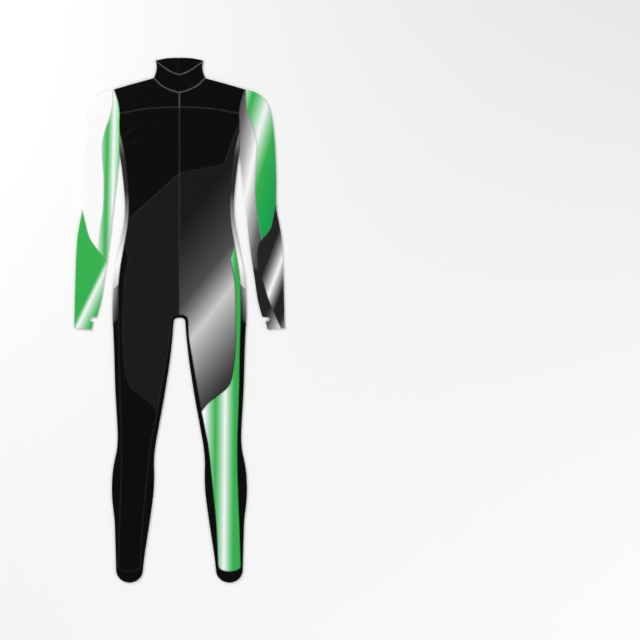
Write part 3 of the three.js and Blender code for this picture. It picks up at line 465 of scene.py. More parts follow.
def patch(top, bottom, *flanks, columns=None):
    """Coons patch over the plan: the top and bottom lines blended down, plus the left and right lines
    blended across, less the bilinear blend of the corners. Flanks are pairs of left and right lines,
    top to bottom, with the fractions of the rows. The columns stand close at both sides."""
    left = join(*(sample(a, f) for a, b, f in flanks))
    right = join(*(sample(b, f) for a, b, f in flanks))
    down_left, down_right = length_along(left), length_along(right)
    v = ((down_left / down_left[-1] + down_right / down_right[-1]) / 2)[:, None]
    width = np.hypot(*(right - left).T)[:, None]
    shrink = np.minimum(1, WIDEST_MARGIN * width / SEAM_STEPS[-1])
    ends = shrink * SEAM_STEPS / np.maximum(width, 1e-6)
    columns = columns or max(4, int(np.ceil(width.max() / GRID_STEP)))
    middle = ends[:, -1:] + (1 - 2 * ends[:, -1:]) * np.linspace(0, 1, columns + 1)
    u = np.hstack([0 * v, ends[:, :-1], middle, 1 - ends[:, -2::-1], 0 * v + 1])
    u_, v_ = u[..., None], v[..., None]
    blend = (1 - v_) * sample(top, u) + v_ * sample(bottom, u)
    blend = blend + (1 - u_) * left[:, None] + u_ * right[:, None]
    corners = (1 - v_) * ((1 - u_) * left[0] + u_ * right[0]) + v_ * ((1 - u_) * left[-1] + u_ * right[-1])
    return blend - corners

def point_line(at):
    """A line of no length, for the end of a patch that runs to a point."""
    return np.array([at, at], float)

def grid_quads(rows, columns):
    """The faces of a grid of points, row after row."""
    corner = np.arange(rows * columns).reshape(rows, columns)
    faces = [corner[:-1, :-1], corner[1:, :-1], corner[1:, 1:], corner[:-1, 1:]]
    return np.stack(faces, axis=-1).reshape(-1, 4)

def ring_quads(rings, sides):
    """The faces between closed rings of points, ring after ring."""
    ring = np.arange(rings * sides).reshape(rings, sides)
    after = np.roll(ring, -1, axis=1)
    return np.stack([ring[:-1], after[:-1], after[1:], ring[1:]], axis=-1).reshape(-1, 4)

def add_piece(name, points, quads, finish, merged=False):
    """A smooth mesh object from points in millimetres and four-sided faces. Points that coincide are
    merged where patches have to become one sheet."""
    mesh = bpy.data.meshes.new(name)
    mesh.vertices.add(len(points))
    mesh.vertices.foreach_set("co", (points * MM).ravel())
    mesh.loops.add(quads.size)
    mesh.loops.foreach_set("vertex_index", quads.ravel())
    mesh.polygons.add(len(quads))
    mesh.polygons.foreach_set("loop_start", np.arange(0, quads.size, 4))
    mesh.update(calc_edges=True)
    if merged:
        shell = bmesh.new()
        shell.from_mesh(mesh)
        bmesh.ops.remove_doubles(shell, verts=shell.verts, dist=MATCH * MM)
        shell.to_mesh(mesh)
        shell.free()
        mesh.validate()
    mesh.polygons.foreach_set("use_smooth", np.ones(len(mesh.polygons), dtype=bool))
    mesh.materials.append(finish)
    piece = bpy.data.objects.new(name, mesh)
    bpy.context.scene.collection.objects.link(piece)
    return piece

def add_wall(piece, thickness):
    """Gives a sheet its thickness, from the outer face inward."""
    wall = piece.modifiers.new("wall", "SOLIDIFY")
    wall.thickness = thickness * MM
    wall.offset = -1

suit_pieces = {}

def add_cloth(name, layers, finish):
    """Joins the patches of a piece: each is lifted to its face's surface, mirrored to its side, and the
    patches are merged where they meet."""
    vertices, faces, area, start = [], [], 0.0, 0
    for on_side, face, plan in layers:
        rows, columns = plan.shape[:2]
        flat = plan.reshape(-1, 2)
        height = surface(flat, on_side, face)
        vertices.append(np.column_stack([flat[:, 0] * on_side, flat[:, 1], height]))
        quads = start + grid_quads(rows, columns)
        faces.append(quads if on_side * face > 0 else quads[:, ::-1])
        start += rows * columns
        d1, d2 = plan[1:, 1:] - plan[:-1, :-1], plan[1:, :-1] - plan[:-1, 1:]
        area += np.abs(d1[..., 0] * d2[..., 1] - d1[..., 1] * d2[..., 0]).sum() / 2
    piece = add_piece(name + "_cloth", np.vstack(vertices), np.vstack(faces), finish, merged=True)
    add_wall(piece, CLOTH)
    suit_pieces[name] = piece

# Materials

class Wire:
    """A shader socket that takes part in Python expressions; each operator adds its Math node."""

    def __init__(self, tree, socket):
        self.tree = tree
        self.socket = socket

    def math(self, operation, *values):
        node = self.tree.nodes.new("ShaderNodeMath")
        node.operation = operation
        for place, value in zip(node.inputs, (self, *values)):
            connect(self.tree, value, place)
        return Wire(self.tree, node.outputs[0])

    def __add__(self, other):
        return self.math("ADD", other)

    __radd__ = __add__

    def __sub__(self, other):
        return self.math("SUBTRACT", other)

    def __rsub__(self, other):
        return self.math("MULTIPLY_ADD", -1.0, other)

    def __mul__(self, other):
        return self.math("MULTIPLY", other)

    __rmul__ = __mul__

    def __truediv__(self, other):
        return self.math("DIVIDE", other)

def connect(tree, value, place):
    """Links a wire to a socket, or sets the socket to a number, colour or vector."""
    if isinstance(value, Wire):
        tree.links.new(value.socket, place)
    else:
        place.default_value = value

class Finish:
    """A material on a Principled surface, with one method for every node that isn't Math."""

    def __init__(self, name, **constants):
        self.material = bpy.data.materials.new(name)
        self.material.use_nodes = True
        self.tree = self.material.node_tree
        self.surface = self.tree.nodes["Principled BSDF"]
        for socket, value in constants.items():
            self.surface.inputs[socket.replace("_", " ")].default_value = value

    def node(self, kind, settings=None, inputs=None, output=0):
        node = self.tree.nodes.new("ShaderNode" + kind)
        for name, value in (settings or {}).items():
            if name == "stops":
                while len(node.color_ramp.elements) < len(value):
                    node.color_ramp.elements.new(1.0)
                for element, (place, colour) in zip(node.color_ramp.elements, value):
                    element.position = place
                    element.color = colour
            else:
                setattr(node, name, value)
        for name, value in (inputs or {}).items():
            connect(self.tree, value, node.inputs[name])
        return Wire(self.tree, node.outputs[output])

    def axes(self):
        """x, y and z of the piece's own coordinates."""
        place = self.node("TexCoord", output="Object")
        return [self.node("SeparateXYZ", inputs={0: place}, output=axis) for axis in range(3)]

    def noise(self, scale, detail=2.0):
        place = self.node("TexCoord", output="Object")
        return self.node("TexNoise", inputs={"Vector": place, "Scale": scale, "Detail": detail}, output=0)

    def mix(self, factor, a, b, blend="MIX"):
        settings = {"data_type": "RGBA", "blend_type": blend}
        return self.node("Mix", settings, {0: factor, 6: a, 7: b}, output=2)

    def feed(self, **values):
        for socket, value in values.items():
            connect(self.tree, value, self.surface.inputs[socket.replace("_", " ")])

    def dress(self, colour, tint, rough, strength, depth, height):
        """Colour times tint, roughness, and a bump over a height pattern, its depth in millimetres."""
        bump = self.node("Bump", inputs={"Strength": strength, "Distance": depth * MM, "Height": height})
        self.feed(Base_Color=self.mix(1.0, colour, tint, "MULTIPLY"), Roughness=rough, Normal=bump)
        return self.material

def linear(tone):
    """A grey level or three levels from 0 to 255, as a linear colour."""
    levels = np.broadcast_to(np.asarray(tone, float) / 255, 3)
    light = np.where(levels <= 0.04045, levels / 12.92, ((levels + 0.055) / 1.055) ** 2.4)
    return (*light.tolist(), 1.0)

GREEN = (48, 174, 75)
DEEP_GREEN = (0, 157, 76)
DARK = (33, 29, 30)
WHITE = 246
PRINT_STEPS = 3
PRINT_TURN = (1.4, 3.6)                    # the heights between which the back's print becomes the front's
RIB_PITCH, ROW_PITCH = 0.9, 0.7            # of the knit
SHEEN, LOW_SHEEN, FAINT_SHEEN = 0.25, 0.12, 0.08

def pitch(length):
    """What a coordinate in metres is multiplied by for one sine wave over a length in millimetres."""
    return 2 * np.pi / (length * MM)

class Print:
    """A printed fade: tones at distances from a line through origin, along a direction, in millimetres."""

    def __init__(self, origin, direction, *tones):
        self.direction = np.array(direction, float) / np.hypot(*direction)
        self.base = float(self.direction @ np.array(origin, float))
        self.tones = tones

    def stops(self):
        """The tones as ramp stops, with steps put between them, because the eye's scale isn't linear."""
        places = np.array([place for place, tone in self.tones], float)
        levels = np.array([np.broadcast_to(tone, 3) for place, tone in self.tones], float)
        spans = [np.linspace(a, b, PRINT_STEPS + 1) for a, b in zip(places, places[1:])]
        fine = np.unique(np.concatenate(spans))
        shades = np.stack([np.interp(fine, places, levels[:, axis]) for axis in range(3)], axis=-1)
        share = (fine - fine[0]) / (fine[-1] - fine[0])
        stops = [(float(s), linear(shade)) for s, shade in zip(share, shades)]
        return self.base + fine[0], self.base + fine[-1], stops

def printed(finish, axes, tone):
    """The colour of a plain tone or of a printed fade at each place."""
    if not isinstance(tone, Print):
        return linear(tone)
    first, last, stops = tone.stops()
    x, y = axes[:2]
    along = x * (tone.direction[0] / MM) + y * (tone.direction[1] / MM)
    return finish.node("ValToRGB", {"stops": stops}, {0: (along - first) / (last - first)})

def coated_cloth(name, front, back=None, specular=SHEEN):
    """Coated stretch knit: fine ribs and rows under a thin film, with the printed tones of the two faces
    meeting in the folded edge."""
    finish = Finish(name, Specular_IOR_Level=specular)
    axes = finish.axes()
    x, y, z = axes
    colour = printed(finish, axes, front)
    if back is not None:
        low, high = PRINT_TURN
        turn = finish.node(
            "MapRange", {"interpolation_type": "SMOOTHSTEP"},
            {"Value": z, "From Min": low * MM, "From Max": high * MM},
        )
        colour = finish.mix(turn, printed(finish, axes, back), colour)
    broad, fine = finish.noise(9.0), finish.noise(420.0)
    tint = broad * 0.08 + fine * 0.08 + 0.92
    rib = (x * pitch(RIB_PITCH)).math("SINE")
    row = (y * pitch(ROW_PITCH) + rib * 0.9).math("SINE")
    knit = rib * 0.5 + row * 0.35 + fine * 0.6
    return finish.dress(colour, tint, broad * 0.1 + fine * 0.06 + 0.35, 0.25, 0.03, knit)

def mirrored_print(side, origin, direction, *tones):
    """The same fade on either side of the suit."""
    return Print((origin[0] * side, origin[1]), (direction[0] * side, direction[1]), *tones)

SIDE_TONES = (
    (-580, 180), (-568, 150), (-531, 95), (-495, 36), (-397, 33), (-367, 90), (-275, 178), (-202, 240),
    (-165, 245), (-86, 190),
)
cloth = {
    "black": coated_cloth("black_cloth", 3, specular=FAINT_SHEEN),
    "charcoal": coated_cloth("charcoal_cloth", 22, specular=FAINT_SHEEN),
    "white": coated_cloth("white_cloth", WHITE),
    "lower": coated_cloth("faded_grey_cloth", Print(
        (96.4, 20.6), (0.781, -0.625), (-236, 21), (-83, 74), (-18, 174), (0, 202), (104, 109), (170, 50),
    ), specular=FAINT_SHEEN),
    "leg": coated_cloth("faded_green_cloth", Print(
        (140, -207), (1, -0.0086), (-62, WHITE), (-29, GREEN), (0, WHITE), (27.5, GREEN), (50, GREEN),
    )),
    "inner_right": coated_cloth(
        "faded_inner_sleeve_cloth",
        Print((-218.7, 603.7), (1, -0.0202), (-27, WHITE), (0, GREEN), (20, WHITE), (31, (150, 228, 165))),
        Print((-222.7, 589.4), (1, -0.0593), (-24, WHITE), (0, GREEN), (24, (226, 243, 230))),
    ),
    "forearm_right": coated_cloth("faded_forearm_cloth", Print(
        (-271.5, 61.8), (0.898, -0.440), (-40, GREEN), (-13.2, GREEN), (0, WHITE), (35, GREEN),
    )),
    "outer_left": coated_cloth(
        "faded_outer_sleeve_cloth",
        Print((252.8, 611.4), (0.958, -0.287), (-73, (190, 240, 195)), (-48, GREEN), (0, WHITE), (44, GREEN),
              (116, DEEP_GREEN)),
        Print((248.6, 701.3), (-0.928, -0.373), (-10, WHITE), (0, WHITE), (58, GREEN)),
    ),
    "inner_left": coated_cloth(
        "faded_grey_sleeve_cloth",
        Print((221.4, 473.5), (0.978, -0.209), (-85, DARK), (0, 250), (85, DARK)),
        Print((230.3, 482.7), (0.979, -0.206), (-85, DARK), (0, 250), (82, DARK)),
    ),
    "forearm_outer": coated_cloth(
        "faded_grey_forearm_cloth",
        Print((292.2, 130.4), (0.936, -0.353), (-39.6, DARK), (0, 250), (32.5, DARK), (61, DARK), (82, 150)),
        Print((298.9, 205.1), (-0.840, -0.542), (-40, DARK), (0, 250), (43, DARK)),
        specular=LOW_SHEEN,
    ),
    "forearm_inner": coated_cloth(
        "dark_forearm_cloth",
        Print((282.4, -14.5), (0.92, -0.39), (-28, DARK), (0, 135), (31, 250)),
        Print((303.5, -14.5), (0.978, -0.21), (-42, DARK), (0, 188), (17, 250)),
        specular=LOW_SHEEN,
    ),
}
for side, label in ((RIGHT, "right"), (LEFT, "left")):
    cloth["side", side] = coated_cloth(
        "faded_side_cloth_" + label,
        Print((0, 0), (0, -1), *SIDE_TONES),
        mirrored_print(side, (0, 0), (0.901, -0.434), (-76, 250), (-59, 189), (-18, 33), (43, 33), (111, 250),
                       (166, 112), (195, 33)),
    )
    cloth["tab", side] = coated_cloth("faded_tab_cloth_" + label, mirrored_print(
        side, (187.9, 92.3), (0.987, 0.163), (-12, 25), (0, 91), (12, 159), (20, 200),
    ))

# The pieces. Patches that share a folded edge take their rows from it, so that they meet point to point.

def flank(left, right, by=None):
    """A left and a right line with the rows that the given one, or the longer one, needs."""
    lines = sorted((left, right), key=lambda line: length_along(line)[-1])
    return left, right, graded(lines[-1] if by is None else by)

def upright(x, *levels):
    """Straight stretches of an upright line between levels."""
    return [straight((x, a), (x, b)) for a, b in zip(levels, levels[1:])]

def flanks(lefts, rights):
    """Pairs of left and right lines, one pair below the other."""
    return [flank(left, right) for left, right in zip(lefts, rights)]

# Levels where a piece's flanks are divided, so that its rows stay about level
RIBS_Y = 400
CHEST_LEVELS = {RIGHT: (YOKE_Y, 590, DIAGONAL_Y), LEFT: (YOKE_Y, DIAGONAL_Y)}
LOWER_LEVELS = {RIGHT: (270, 215), LEFT: (438, 330, 270, 215)}
LEG_LEVELS = LEG_TIP_Y, 40, -185, -290, ANKLE_OUTER_SEAM
BACK_Y, SEAT_Y, HIP_Y = 548, 240, 62.0
SLEEVE_Y, FOREARM_TIP_END = 535, 240
RIGHT_HAND_LEVELS = FOREARM_TOP[RIGHT], 35, 3.4, -12, CUFF_OUTER[1]
LEFT_HAND_LEVELS = panel_point[1], 35, 4, -10, cuff_point[1]
BACK_WIDTH, FRONT_WIDTH = 205, 180         # the widest row, which sets how many columns there are
FOOT_LENGTH, FOOT_COLUMNS = 50, 28

edge_chest, edge_hip = stretches(edge_side, ARMPIT[1], RIBS_Y, TAB_TOP_OUTER)
armpit_seam = cut(seam_chest, ARMHOLE_SIDE_Y, ARMPIT[1])
seam_ribs = cut(seam_chest, ARMPIT[1], RIBS_Y)
seam_flank = join(cut(seam_chest, RIBS_Y, DIAGONAL_LOW_Y), seam_waist, seam_hip)
chest_sides = {RIGHT: (join(armhole_chest, armhole_lower), seam_chest), LEFT: (armhole_chest,)}
leg_top = seam_waist, tip_seam[::-1], thigh_seam_upper
lower_sides = {RIGHT: leg_top, LEFT: (armhole_lower, seam_chest, *leg_top)}
leg_front = thigh_seam_upper, thigh_seam_lower, knee_seam, seam_shin
waist_line = straight((ZIP_HALF_WIDTH, BACK_WAIST_POINT[1]), BACK_WAIST_POINT)
hip_line = straight(BACK_WAIST_POINT, BACK_HIP_POINT)
zip_side, zip_waist, zip_seat = upright(ZIP_HALF_WIDTH, NECK_BACK_Y, BACK_Y, BACK_WAIST_POINT[1], ZIP_BOTTOM)
seat_line = straight((ZIP_HALF_WIDTH, ZIP_BOTTOM), (0, ZIP_BOTTOM - ZIP_HALF_WIDTH), (0, CROTCH_Y))
seat_sides = stretches(hip_line, BACK_WAIST_POINT[1], SEAT_Y, BACK_HIP_POINT[1])
ankle_seams = [straight(ankle_inner, seam_shin[-1]), ankle_front, straight(seam_leg[-1], ankle_outer)]
back_columns = int(BACK_WIDTH / GRID_STEP)
front_columns = int(FRONT_WIDTH / GRID_STEP)
leg_rows = graded(edge_leg)
foot_rows = graded(straight((0, 0), (0, -FOOT_LENGTH)))

for side, label in ((RIGHT, "right"), (LEFT, "left")):
    add_cloth("yoke_" + label, [(side, FRONT, patch(
        join(neck_front, shoulder), yoke_seam, flank(*upright(0, NECK_FRONT_Y, YOKE_Y), armhole_yoke),
    ))], cloth["black"])

    chest = flanks(upright(0, *CHEST_LEVELS[side]), chest_sides[side])
    levels = DIAGONAL_Y, *LOWER_LEVELS[side], CROTCH_Y + CROTCH_STRIP
    lower = flanks(upright(0, *levels), lower_sides[side])
    add_cloth("chest_" + label, [(side, FRONT, patch(yoke_seam, diagonal[side], *chest))], cloth["black"])
    add_cloth("front_lower_" + label, [
        (side, FRONT, patch(diagonal[side], front_crotch_line, *lower, columns=front_columns)),
        (side, FRONT, patch(
            front_crotch_line, knee_seam[::-1], flank(seam_thigh, thigh_seam_lower), columns=front_columns,
        )),
    ], cloth["charcoal" if side == RIGHT else "lower"])

    add_cloth("front_leg_" + label, [(side, FRONT, patch(
        tip_seam, ankle_front, *flanks(leg_front, stretches(side_seam, *LEG_LEVELS)),
    ))], cloth["black" if side == RIGHT else "leg"])

    add_cloth("side_panel_" + label, [
        (side, FRONT, patch(
            point_line(side_top), straight(seam_tab[0], edge_side[-1]), flank(armpit_seam, armhole_side),
            flank(seam_ribs, edge_chest, by=edge_chest), flank(seam_flank, edge_hip, by=edge_hip),
        )),
        (side, BACK, patch(
            point_line(ARMPIT), straight(BACK_HIP_POINT, edge_tab[-1]),
            flank(straight(ARMPIT, BACK_WAIST_POINT), edge_chest, by=edge_chest),
            flank(cut(hip_line, BACK_WAIST_POINT[1], HIP_Y), edge_hip, by=edge_hip),
            flank(cut(hip_line, HIP_Y, BACK_HIP_POINT[1]), edge_tab, by=edge_tab),
        )),
    ], cloth["side", side])
    add_cloth("hip_tab_" + label, [(side, FRONT, patch(
        straight(seam_tab[0], edge_side[-1]), straight(seam_tab[-1], edge_tab[-1]), flank(seam_tab, edge_tab),
    ))], cloth["tab", side])

    add_cloth("back_" + label, [
        (side, BACK, patch(
            join(neck_back, shoulder), waist_line, flank(zip_side, armhole_back),
            flank(zip_waist, straight(ARMPIT, BACK_WAIST_POINT)), columns=back_columns,
        )),
        (side, BACK, patch(
            waist_line, back_crotch_line, *flanks((zip_seat, seat_line), seat_sides), columns=back_columns,
        )),
        (side, BACK, patch(
            back_crotch_line, ankle_back_inner, (edge_inner, back_leg_line, leg_rows), columns=back_columns,
        )),
        (side, BACK, patch(
            straight(BACK_HIP_POINT, edge_tab[-1]), ankle_back_outer, (back_leg_line, edge_leg, leg_rows),
        )),
        (side, FRONT, patch(
            straight(seam_leg[0], edge_tab[-1]), straight(seam_leg[-1], ankle_outer),
            (seam_leg, edge_leg, leg_rows),
        )),
        (side, FRONT, patch(
            straight(edge_inner[0], arch_seam[0]), straight(ankle_inner, seam_shin[-1]),
            (edge_inner, join(seam_thigh, seam_shin), leg_rows),
        )),
    ], cloth["black"])

    add_cloth("foot_cap_" + label, [
        (side, face, patch(ankle, toe_edge, (toe_inner, toe_outer, foot_rows), columns=FOOT_COLUMNS))
        for face, ankle in ((FRONT, join(*ankle_seams)), (BACK, ankle_back))
    ], cloth["black"])

    seam = sleeve_seam[side]
    seam_upper, seam_lower = stretches(seam, SLEEVE_SEAM_TOP[1], SLEEVE_Y, seam[-1, 1])
    bottom = forearm_inner_seam if side == RIGHT else straight(under_sleeve[LEFT][-1], panel_point)
    if side == LEFT:
        seam_lower = join(seam_lower, panel_seam)
    add_cloth(f"sleeve_{label}_outer", [(side, face, patch(
        point_line(SLEEVE_SEAM_TOP), forearm_seam[side], flank(seam, edge_sleeve[side]),
    )) for face in (FRONT, BACK)], cloth["white" if side == RIGHT else "outer_left"])
    add_cloth(f"sleeve_{label}_inner", [(side, face, patch(
        straight(SHOULDER_TIP, SLEEVE_SEAM_TOP), bottom, flank(hole, seam_upper),
        flank(under_sleeve[side], seam_lower, by=under_sleeve[side]),
    )) for face, hole in ((FRONT, armhole), (BACK, armhole_back))], cloth["inner_" + label])

thumb_side = {side: (under_forearm[side], notch_upper, notch_lower, hand_edge) for side in (RIGHT, LEFT)}
add_cloth("sleeve_right_forearm", [(RIGHT, face, patch(
    join(forearm_inner_seam, forearm_seam[RIGHT]), straight(CUFF_INNER, CUFF_OUTER),
    *flanks(thumb_side[RIGHT], stretches(edge_forearm[RIGHT], *RIGHT_HAND_LEVELS)),
)) for face in (FRONT, BACK)], cloth["forearm_right"])
forearm_tip, forearm_rest = stretches(edge_forearm[LEFT], FOREARM_TOP[LEFT], FOREARM_TIP_END, CUFF_OUTER[1])
add_cloth("sleeve_left_forearm_outer", [(LEFT, face, patch(
    point_line(forearm_tip[0]), straight(cuff_point, CUFF_OUTER),
    flank(forearm_seam[LEFT][::-1], forearm_tip),
    flank(join(panel_seam, forearm_diagonal), forearm_rest),
)) for face in (FRONT, BACK)], cloth["forearm_outer"])
add_cloth("sleeve_left_forearm_inner", [(LEFT, face, patch(
    straight(under_sleeve[LEFT][-1], panel_point), straight(CUFF_INNER, cuff_point),
    *flanks(thumb_side[LEFT], stretches(forearm_diagonal, *LEFT_HAND_LEVELS)),
)) for face in (FRONT, BACK)], cloth["forearm_inner"])

collar_rows = graded(collar_side)
collar_layers = []
for side in (RIGHT, LEFT):
    collar_layers += [
        (side, FRONT, patch(collar_top_front, neck_front, (
            *upright(0, COLLAR_FRONT_Y, NECK_FRONT_Y), collar_side, collar_rows))),
        (side, BACK, patch(collar_top_back, neck_back, (
            *upright(ZIP_HALF_WIDTH, COLLAR_BACK_Y, NECK_BACK_Y), collar_side, collar_rows))),
    ]
add_cloth("collar", collar_layers, cloth["black"])

# Thread: flatlock seams with two needle rows and a cover thread that crosses between them

THREAD_RADIUS = 0.2
THREAD_SIDES = 4
NEEDLE_GAUGE = 1.7                         # from the seam to each needle row
NEEDLE_STITCH = 3.0
COVER_STEP = 1.8
COVER_LIFTS = (0.1, 0.1)
NEEDLE_LIFTS = (-0.3, 0.28, 0.28)          # each stitch dips into the cloth once

def offset_path(line, spacing, shifts, lifts, side, face):
    """Points along a seam, spaced evenly; their shifts sideways and lifts off the cloth repeat in turn."""
    count = max(len(shifts), int(length_along(line)[-1] / spacing))
    middle = sample(line, np.linspace(0, 1, count + 1))
    along = np.gradient(middle, axis=0)
    along = along / np.maximum(np.hypot(*along.T), 1e-9)[:, None]
    turn = np.arange(count + 1) % len(shifts)
    plan = middle + np.array(shifts)[turn, None] * np.column_stack([-along[:, 1], along[:, 0]])
    height = surface(plan, side, face) + face * np.array(lifts)[turn]
    return np.column_stack([plan[:, 0] * side, plan[:, 1], height])

def tube(path, radius, sides=THREAD_SIDES):
    """Rings of points round a path: centre + radius (cos a, sin a) in the plane across the path."""
    along = np.gradient(path, axis=0)
    along = along / np.linalg.norm(along, axis=1, keepdims=True)
    level = np.cross(along, (0.0, 0.0, 1.0))
    level = level / np.maximum(np.linalg.norm(level, axis=1, keepdims=True), 1e-9)
    upward = np.cross(level, along)
    angle = 2 * np.pi * (np.arange(sides) + 0.5) / sides
    rings = path[:, None] + radius * (
        np.cos(angle)[None, :, None] * level[:, None] + np.sin(angle)[None, :, None] * upward[:, None]
    )
    quads = ring_quads(len(path), sides)
    ends = [quads[:sides, 0][::-1], np.arange(sides) + (len(path) - 1) * sides] if sides == 4 else []
    return rings.reshape(-1, 3), np.vstack([quads, *ends])

def gather(parts):
    """Several point and face arrays as one pair."""
    starts = np.cumsum([0] + [len(points) for points, quads in parts[:-1]])
    return (
        np.vstack([points for points, quads in parts]),
        np.vstack([quads + first for first, (points, quads) in zip(starts, parts)]),
    )

def thread_finish(name, tone):
    """Spun polyester: fine twisted plies as slanting ridges."""
    finish = Finish(name, Specular_IOR_Level=0.2)
    x, y, z = finish.axes()
    plies = ((x + y + z * 2.0) * pitch(0.25)).math("SINE")
    fuzz = finish.noise(300.0)
    return finish.dress(linear(tone), fuzz * 0.3 + 0.85, fuzz * 0.2 + 0.6, 0.3, 0.03, plies)

threads = {
    "bright": thread_finish("silver_thread", 176),
    "dim": thread_finish("grey_thread", 98),
    "low": thread_finish("slate_thread", 62),
    "dark": thread_finish("dark_thread", 34),
    "warm": thread_finish("brown_thread", (76, 60, 54)),
    "pale": thread_finish("pale_thread", 236),
    "middle": thread_finish("middle_thread", 196),
}
centre_neck, centre_low = stretches(centre_seam, NECK_FRONT_Y, YOKE_Y, CROTCH_Y + CROTCH_STRIP)
cuff = [straight(CUFF_OUTER, CUFF_INNER)]
body_seams = [seam_chest, seam_waist, *tab_seams]
leg_seams = [
    seam_hip, seam_tab, seam_leg, tip_seam, thigh_seam, knee_seam, seam_thigh, seam_shin, *ankle_seams,
]
SEAM_ROWS = (-NEEDLE_GAUGE, NEEDLE_GAUGE)
HEM_ROWS = (-0.7, -3.6)

# Part, face, needle rows, then thread and lines on the right side and on the left
STITCHED = [
    ("neck", FRONT, SEAM_ROWS, ("bright", [centre_neck, neck_front]), ("bright", [neck_front])),
    ("collar_hem", FRONT, HEM_ROWS, ("bright", [collar_top_front]), ("bright", [collar_top_front])),
    ("collar_back_hem", BACK, HEM_ROWS, ("dim", [collar_top_back]), ("dim", [collar_top_back])),
    ("yoke", FRONT, SEAM_ROWS, ("dim", [yoke_seam, centre_low]), ("dim", [yoke_seam])),
    ("armhole", FRONT, SEAM_ROWS, ("dark", [armhole]), ("dark", [armhole])),
    ("diagonal", FRONT, SEAM_ROWS, ("warm", [diagonal[RIGHT]]), ("warm", [diagonal[LEFT]])),
    ("body", FRONT, SEAM_ROWS, ("dark", body_seams), ("dark", body_seams)),
    ("leg", FRONT, SEAM_ROWS, ("low", leg_seams), ("dark", leg_seams)),
    ("sleeve", FRONT, SEAM_ROWS, ("pale", SLEEVE_SEAMS[RIGHT]), ("middle", [sleeve_seam[LEFT]])),
    ("forearm", FRONT, SEAM_ROWS, None, ("low", SLEEVE_SEAMS[LEFT][1:])),
    ("back", BACK, SEAM_ROWS,
     ("low", [*back_seams, below_zip, ankle_back]), ("low", [*back_seams, ankle_back])),
    ("back_sleeve", BACK, SEAM_ROWS, ("pale", SLEEVE_SEAMS[RIGHT]), ("middle", [sleeve_seam[LEFT]])),
    ("back_forearm", BACK, SEAM_ROWS, None, ("low", SLEEVE_SEAMS[LEFT][1:])),
    ("cuff", FRONT, HEM_ROWS, ("pale", cuff), ("middle", cuff)),
    ("back_cuff", BACK, HEM_ROWS, ("pale", cuff), ("middle", cuff)),
]
stitch_pieces = []
for part, face, rows, *sewn in STITCHED:
    for side, label, found in ((RIGHT, "right", sewn[0]), (LEFT, "left", sewn[1])):
        if found is None:
            continue
        thread, lines = found
        parts = []
        for line in lines:
            parts.append(tube(offset_path(line, COVER_STEP, rows, COVER_LIFTS, side, face), THREAD_RADIUS))
            for row in rows:
                stitch = offset_path(line, NEEDLE_STITCH / 3, (row, row, row), NEEDLE_LIFTS, side, face)
                parts.append(tube(stitch, THREAD_RADIUS))
        stitch_pieces.append(add_piece(f"stitching_{part}_{label}", *gather(parts), threads[thread]))

# Back zip: moulded teeth on two cords, a slider at the collar, a stop, and a guard inside

CHAIN_TOP, CHAIN_BOTTOM = 789.2, 261.3
CHAIN_LEVEL = 0.85
TOOTH_PITCH = 1.35
TOOTH_X = 0.75                             # how far a tooth's middle stands from the centre line
TOOTH_HALF = np.array([1.15, 0.52, 0.66])
CORD_X, CORD_RADIUS = 2.0, 0.38
SLIDER_Y, SLIDER_HALF = 795.0, np.array([2.4, 5.5, 1.25])
STOP_Y, STOP_HALF = 258.15, np.array([2.3, 2.75, 0.85])
GUARD_HALF_WIDTH, GUARD_WALL = 9.0, 0.5
GUARD_TOP, GUARD_BOTTOM = 800.4, 246.0
GUARD_ROWS, GUARD_COLUMNS = 150, 29
GUARD_GAP = 0.15
CHAIN_RISE, CHAIN_REACH = 0.75, 4
SLIDER_RISE, SLIDER_RISE_Y, SLIDER_REACH = 0.7, 782, 5
CORD_POINTS = 130

def signed_power(value, power):
    """The power of the size of a number, with the number's sign."""
    return np.sign(value) * np.abs(value) ** power

def rounded_block(half, power, rows, columns):
    """Superellipsoid: half * (c(u) c(v), c(u) s(v), s(u)), where c and s are the cosine and sine raised to
    a power with their sign kept; u runs from pole to pole and v round the upright axis."""
    u = np.linspace(-np.pi / 2, np.pi / 2, rows)[:, None]
    v = np.linspace(0, 2 * np.pi, columns, endpoint=False)[None, :]
    (cu, su), (cv, sv) = ((signed_power(np.cos(a), power), signed_power(np.sin(a), power)) for a in (u, v))
    grid = np.stack([cu * cv, cu * sv, su + 0 * v], axis=-1) * half
    return grid.reshape(-1, 3), ring_quads(rows, columns)

def moulded(name, tone, metallic, rough):
    """Moulded or cast part: fine grain in the roughness and a faint pitted surface."""
    finish = Finish(name, Metallic=metallic)
    grain, broad = finish.noise(900.0), finish.noise(60.0)
    roughness = grain * 0.15 + broad * 0.1 + (rough - 0.12)
    return finish.dress(linear(tone), broad * 0.2 + 0.88, roughness, 0.2, 0.02, grain)

def woven_tape(name, tone):
    """Twill tape: slanting ribs across the narrow weave."""
    finish = Finish(name, Specular_IOR_Level=0.2)
    x, y = finish.axes()[:2]
    twill = ((x + y) * pitch(0.5)).math("SINE")
    weft = (y * pitch(0.35)).math("SINE")
    fuzz = finish.noise(350.0)
    weave = twill + weft * 0.4 + fuzz * 0.5
    return finish.dress(linear(tone), twill * 0.06 + fuzz * 0.16 + 0.86, fuzz * 0.2 + 0.68, 0.4, 0.05, weave)

zip_metal = moulded("satin_metal", 205, 1.0, 0.34)
zip_plastic = moulded("moulded_teeth", 186, 0.0, 0.45)
tape = woven_tape("zip_tape", 150)

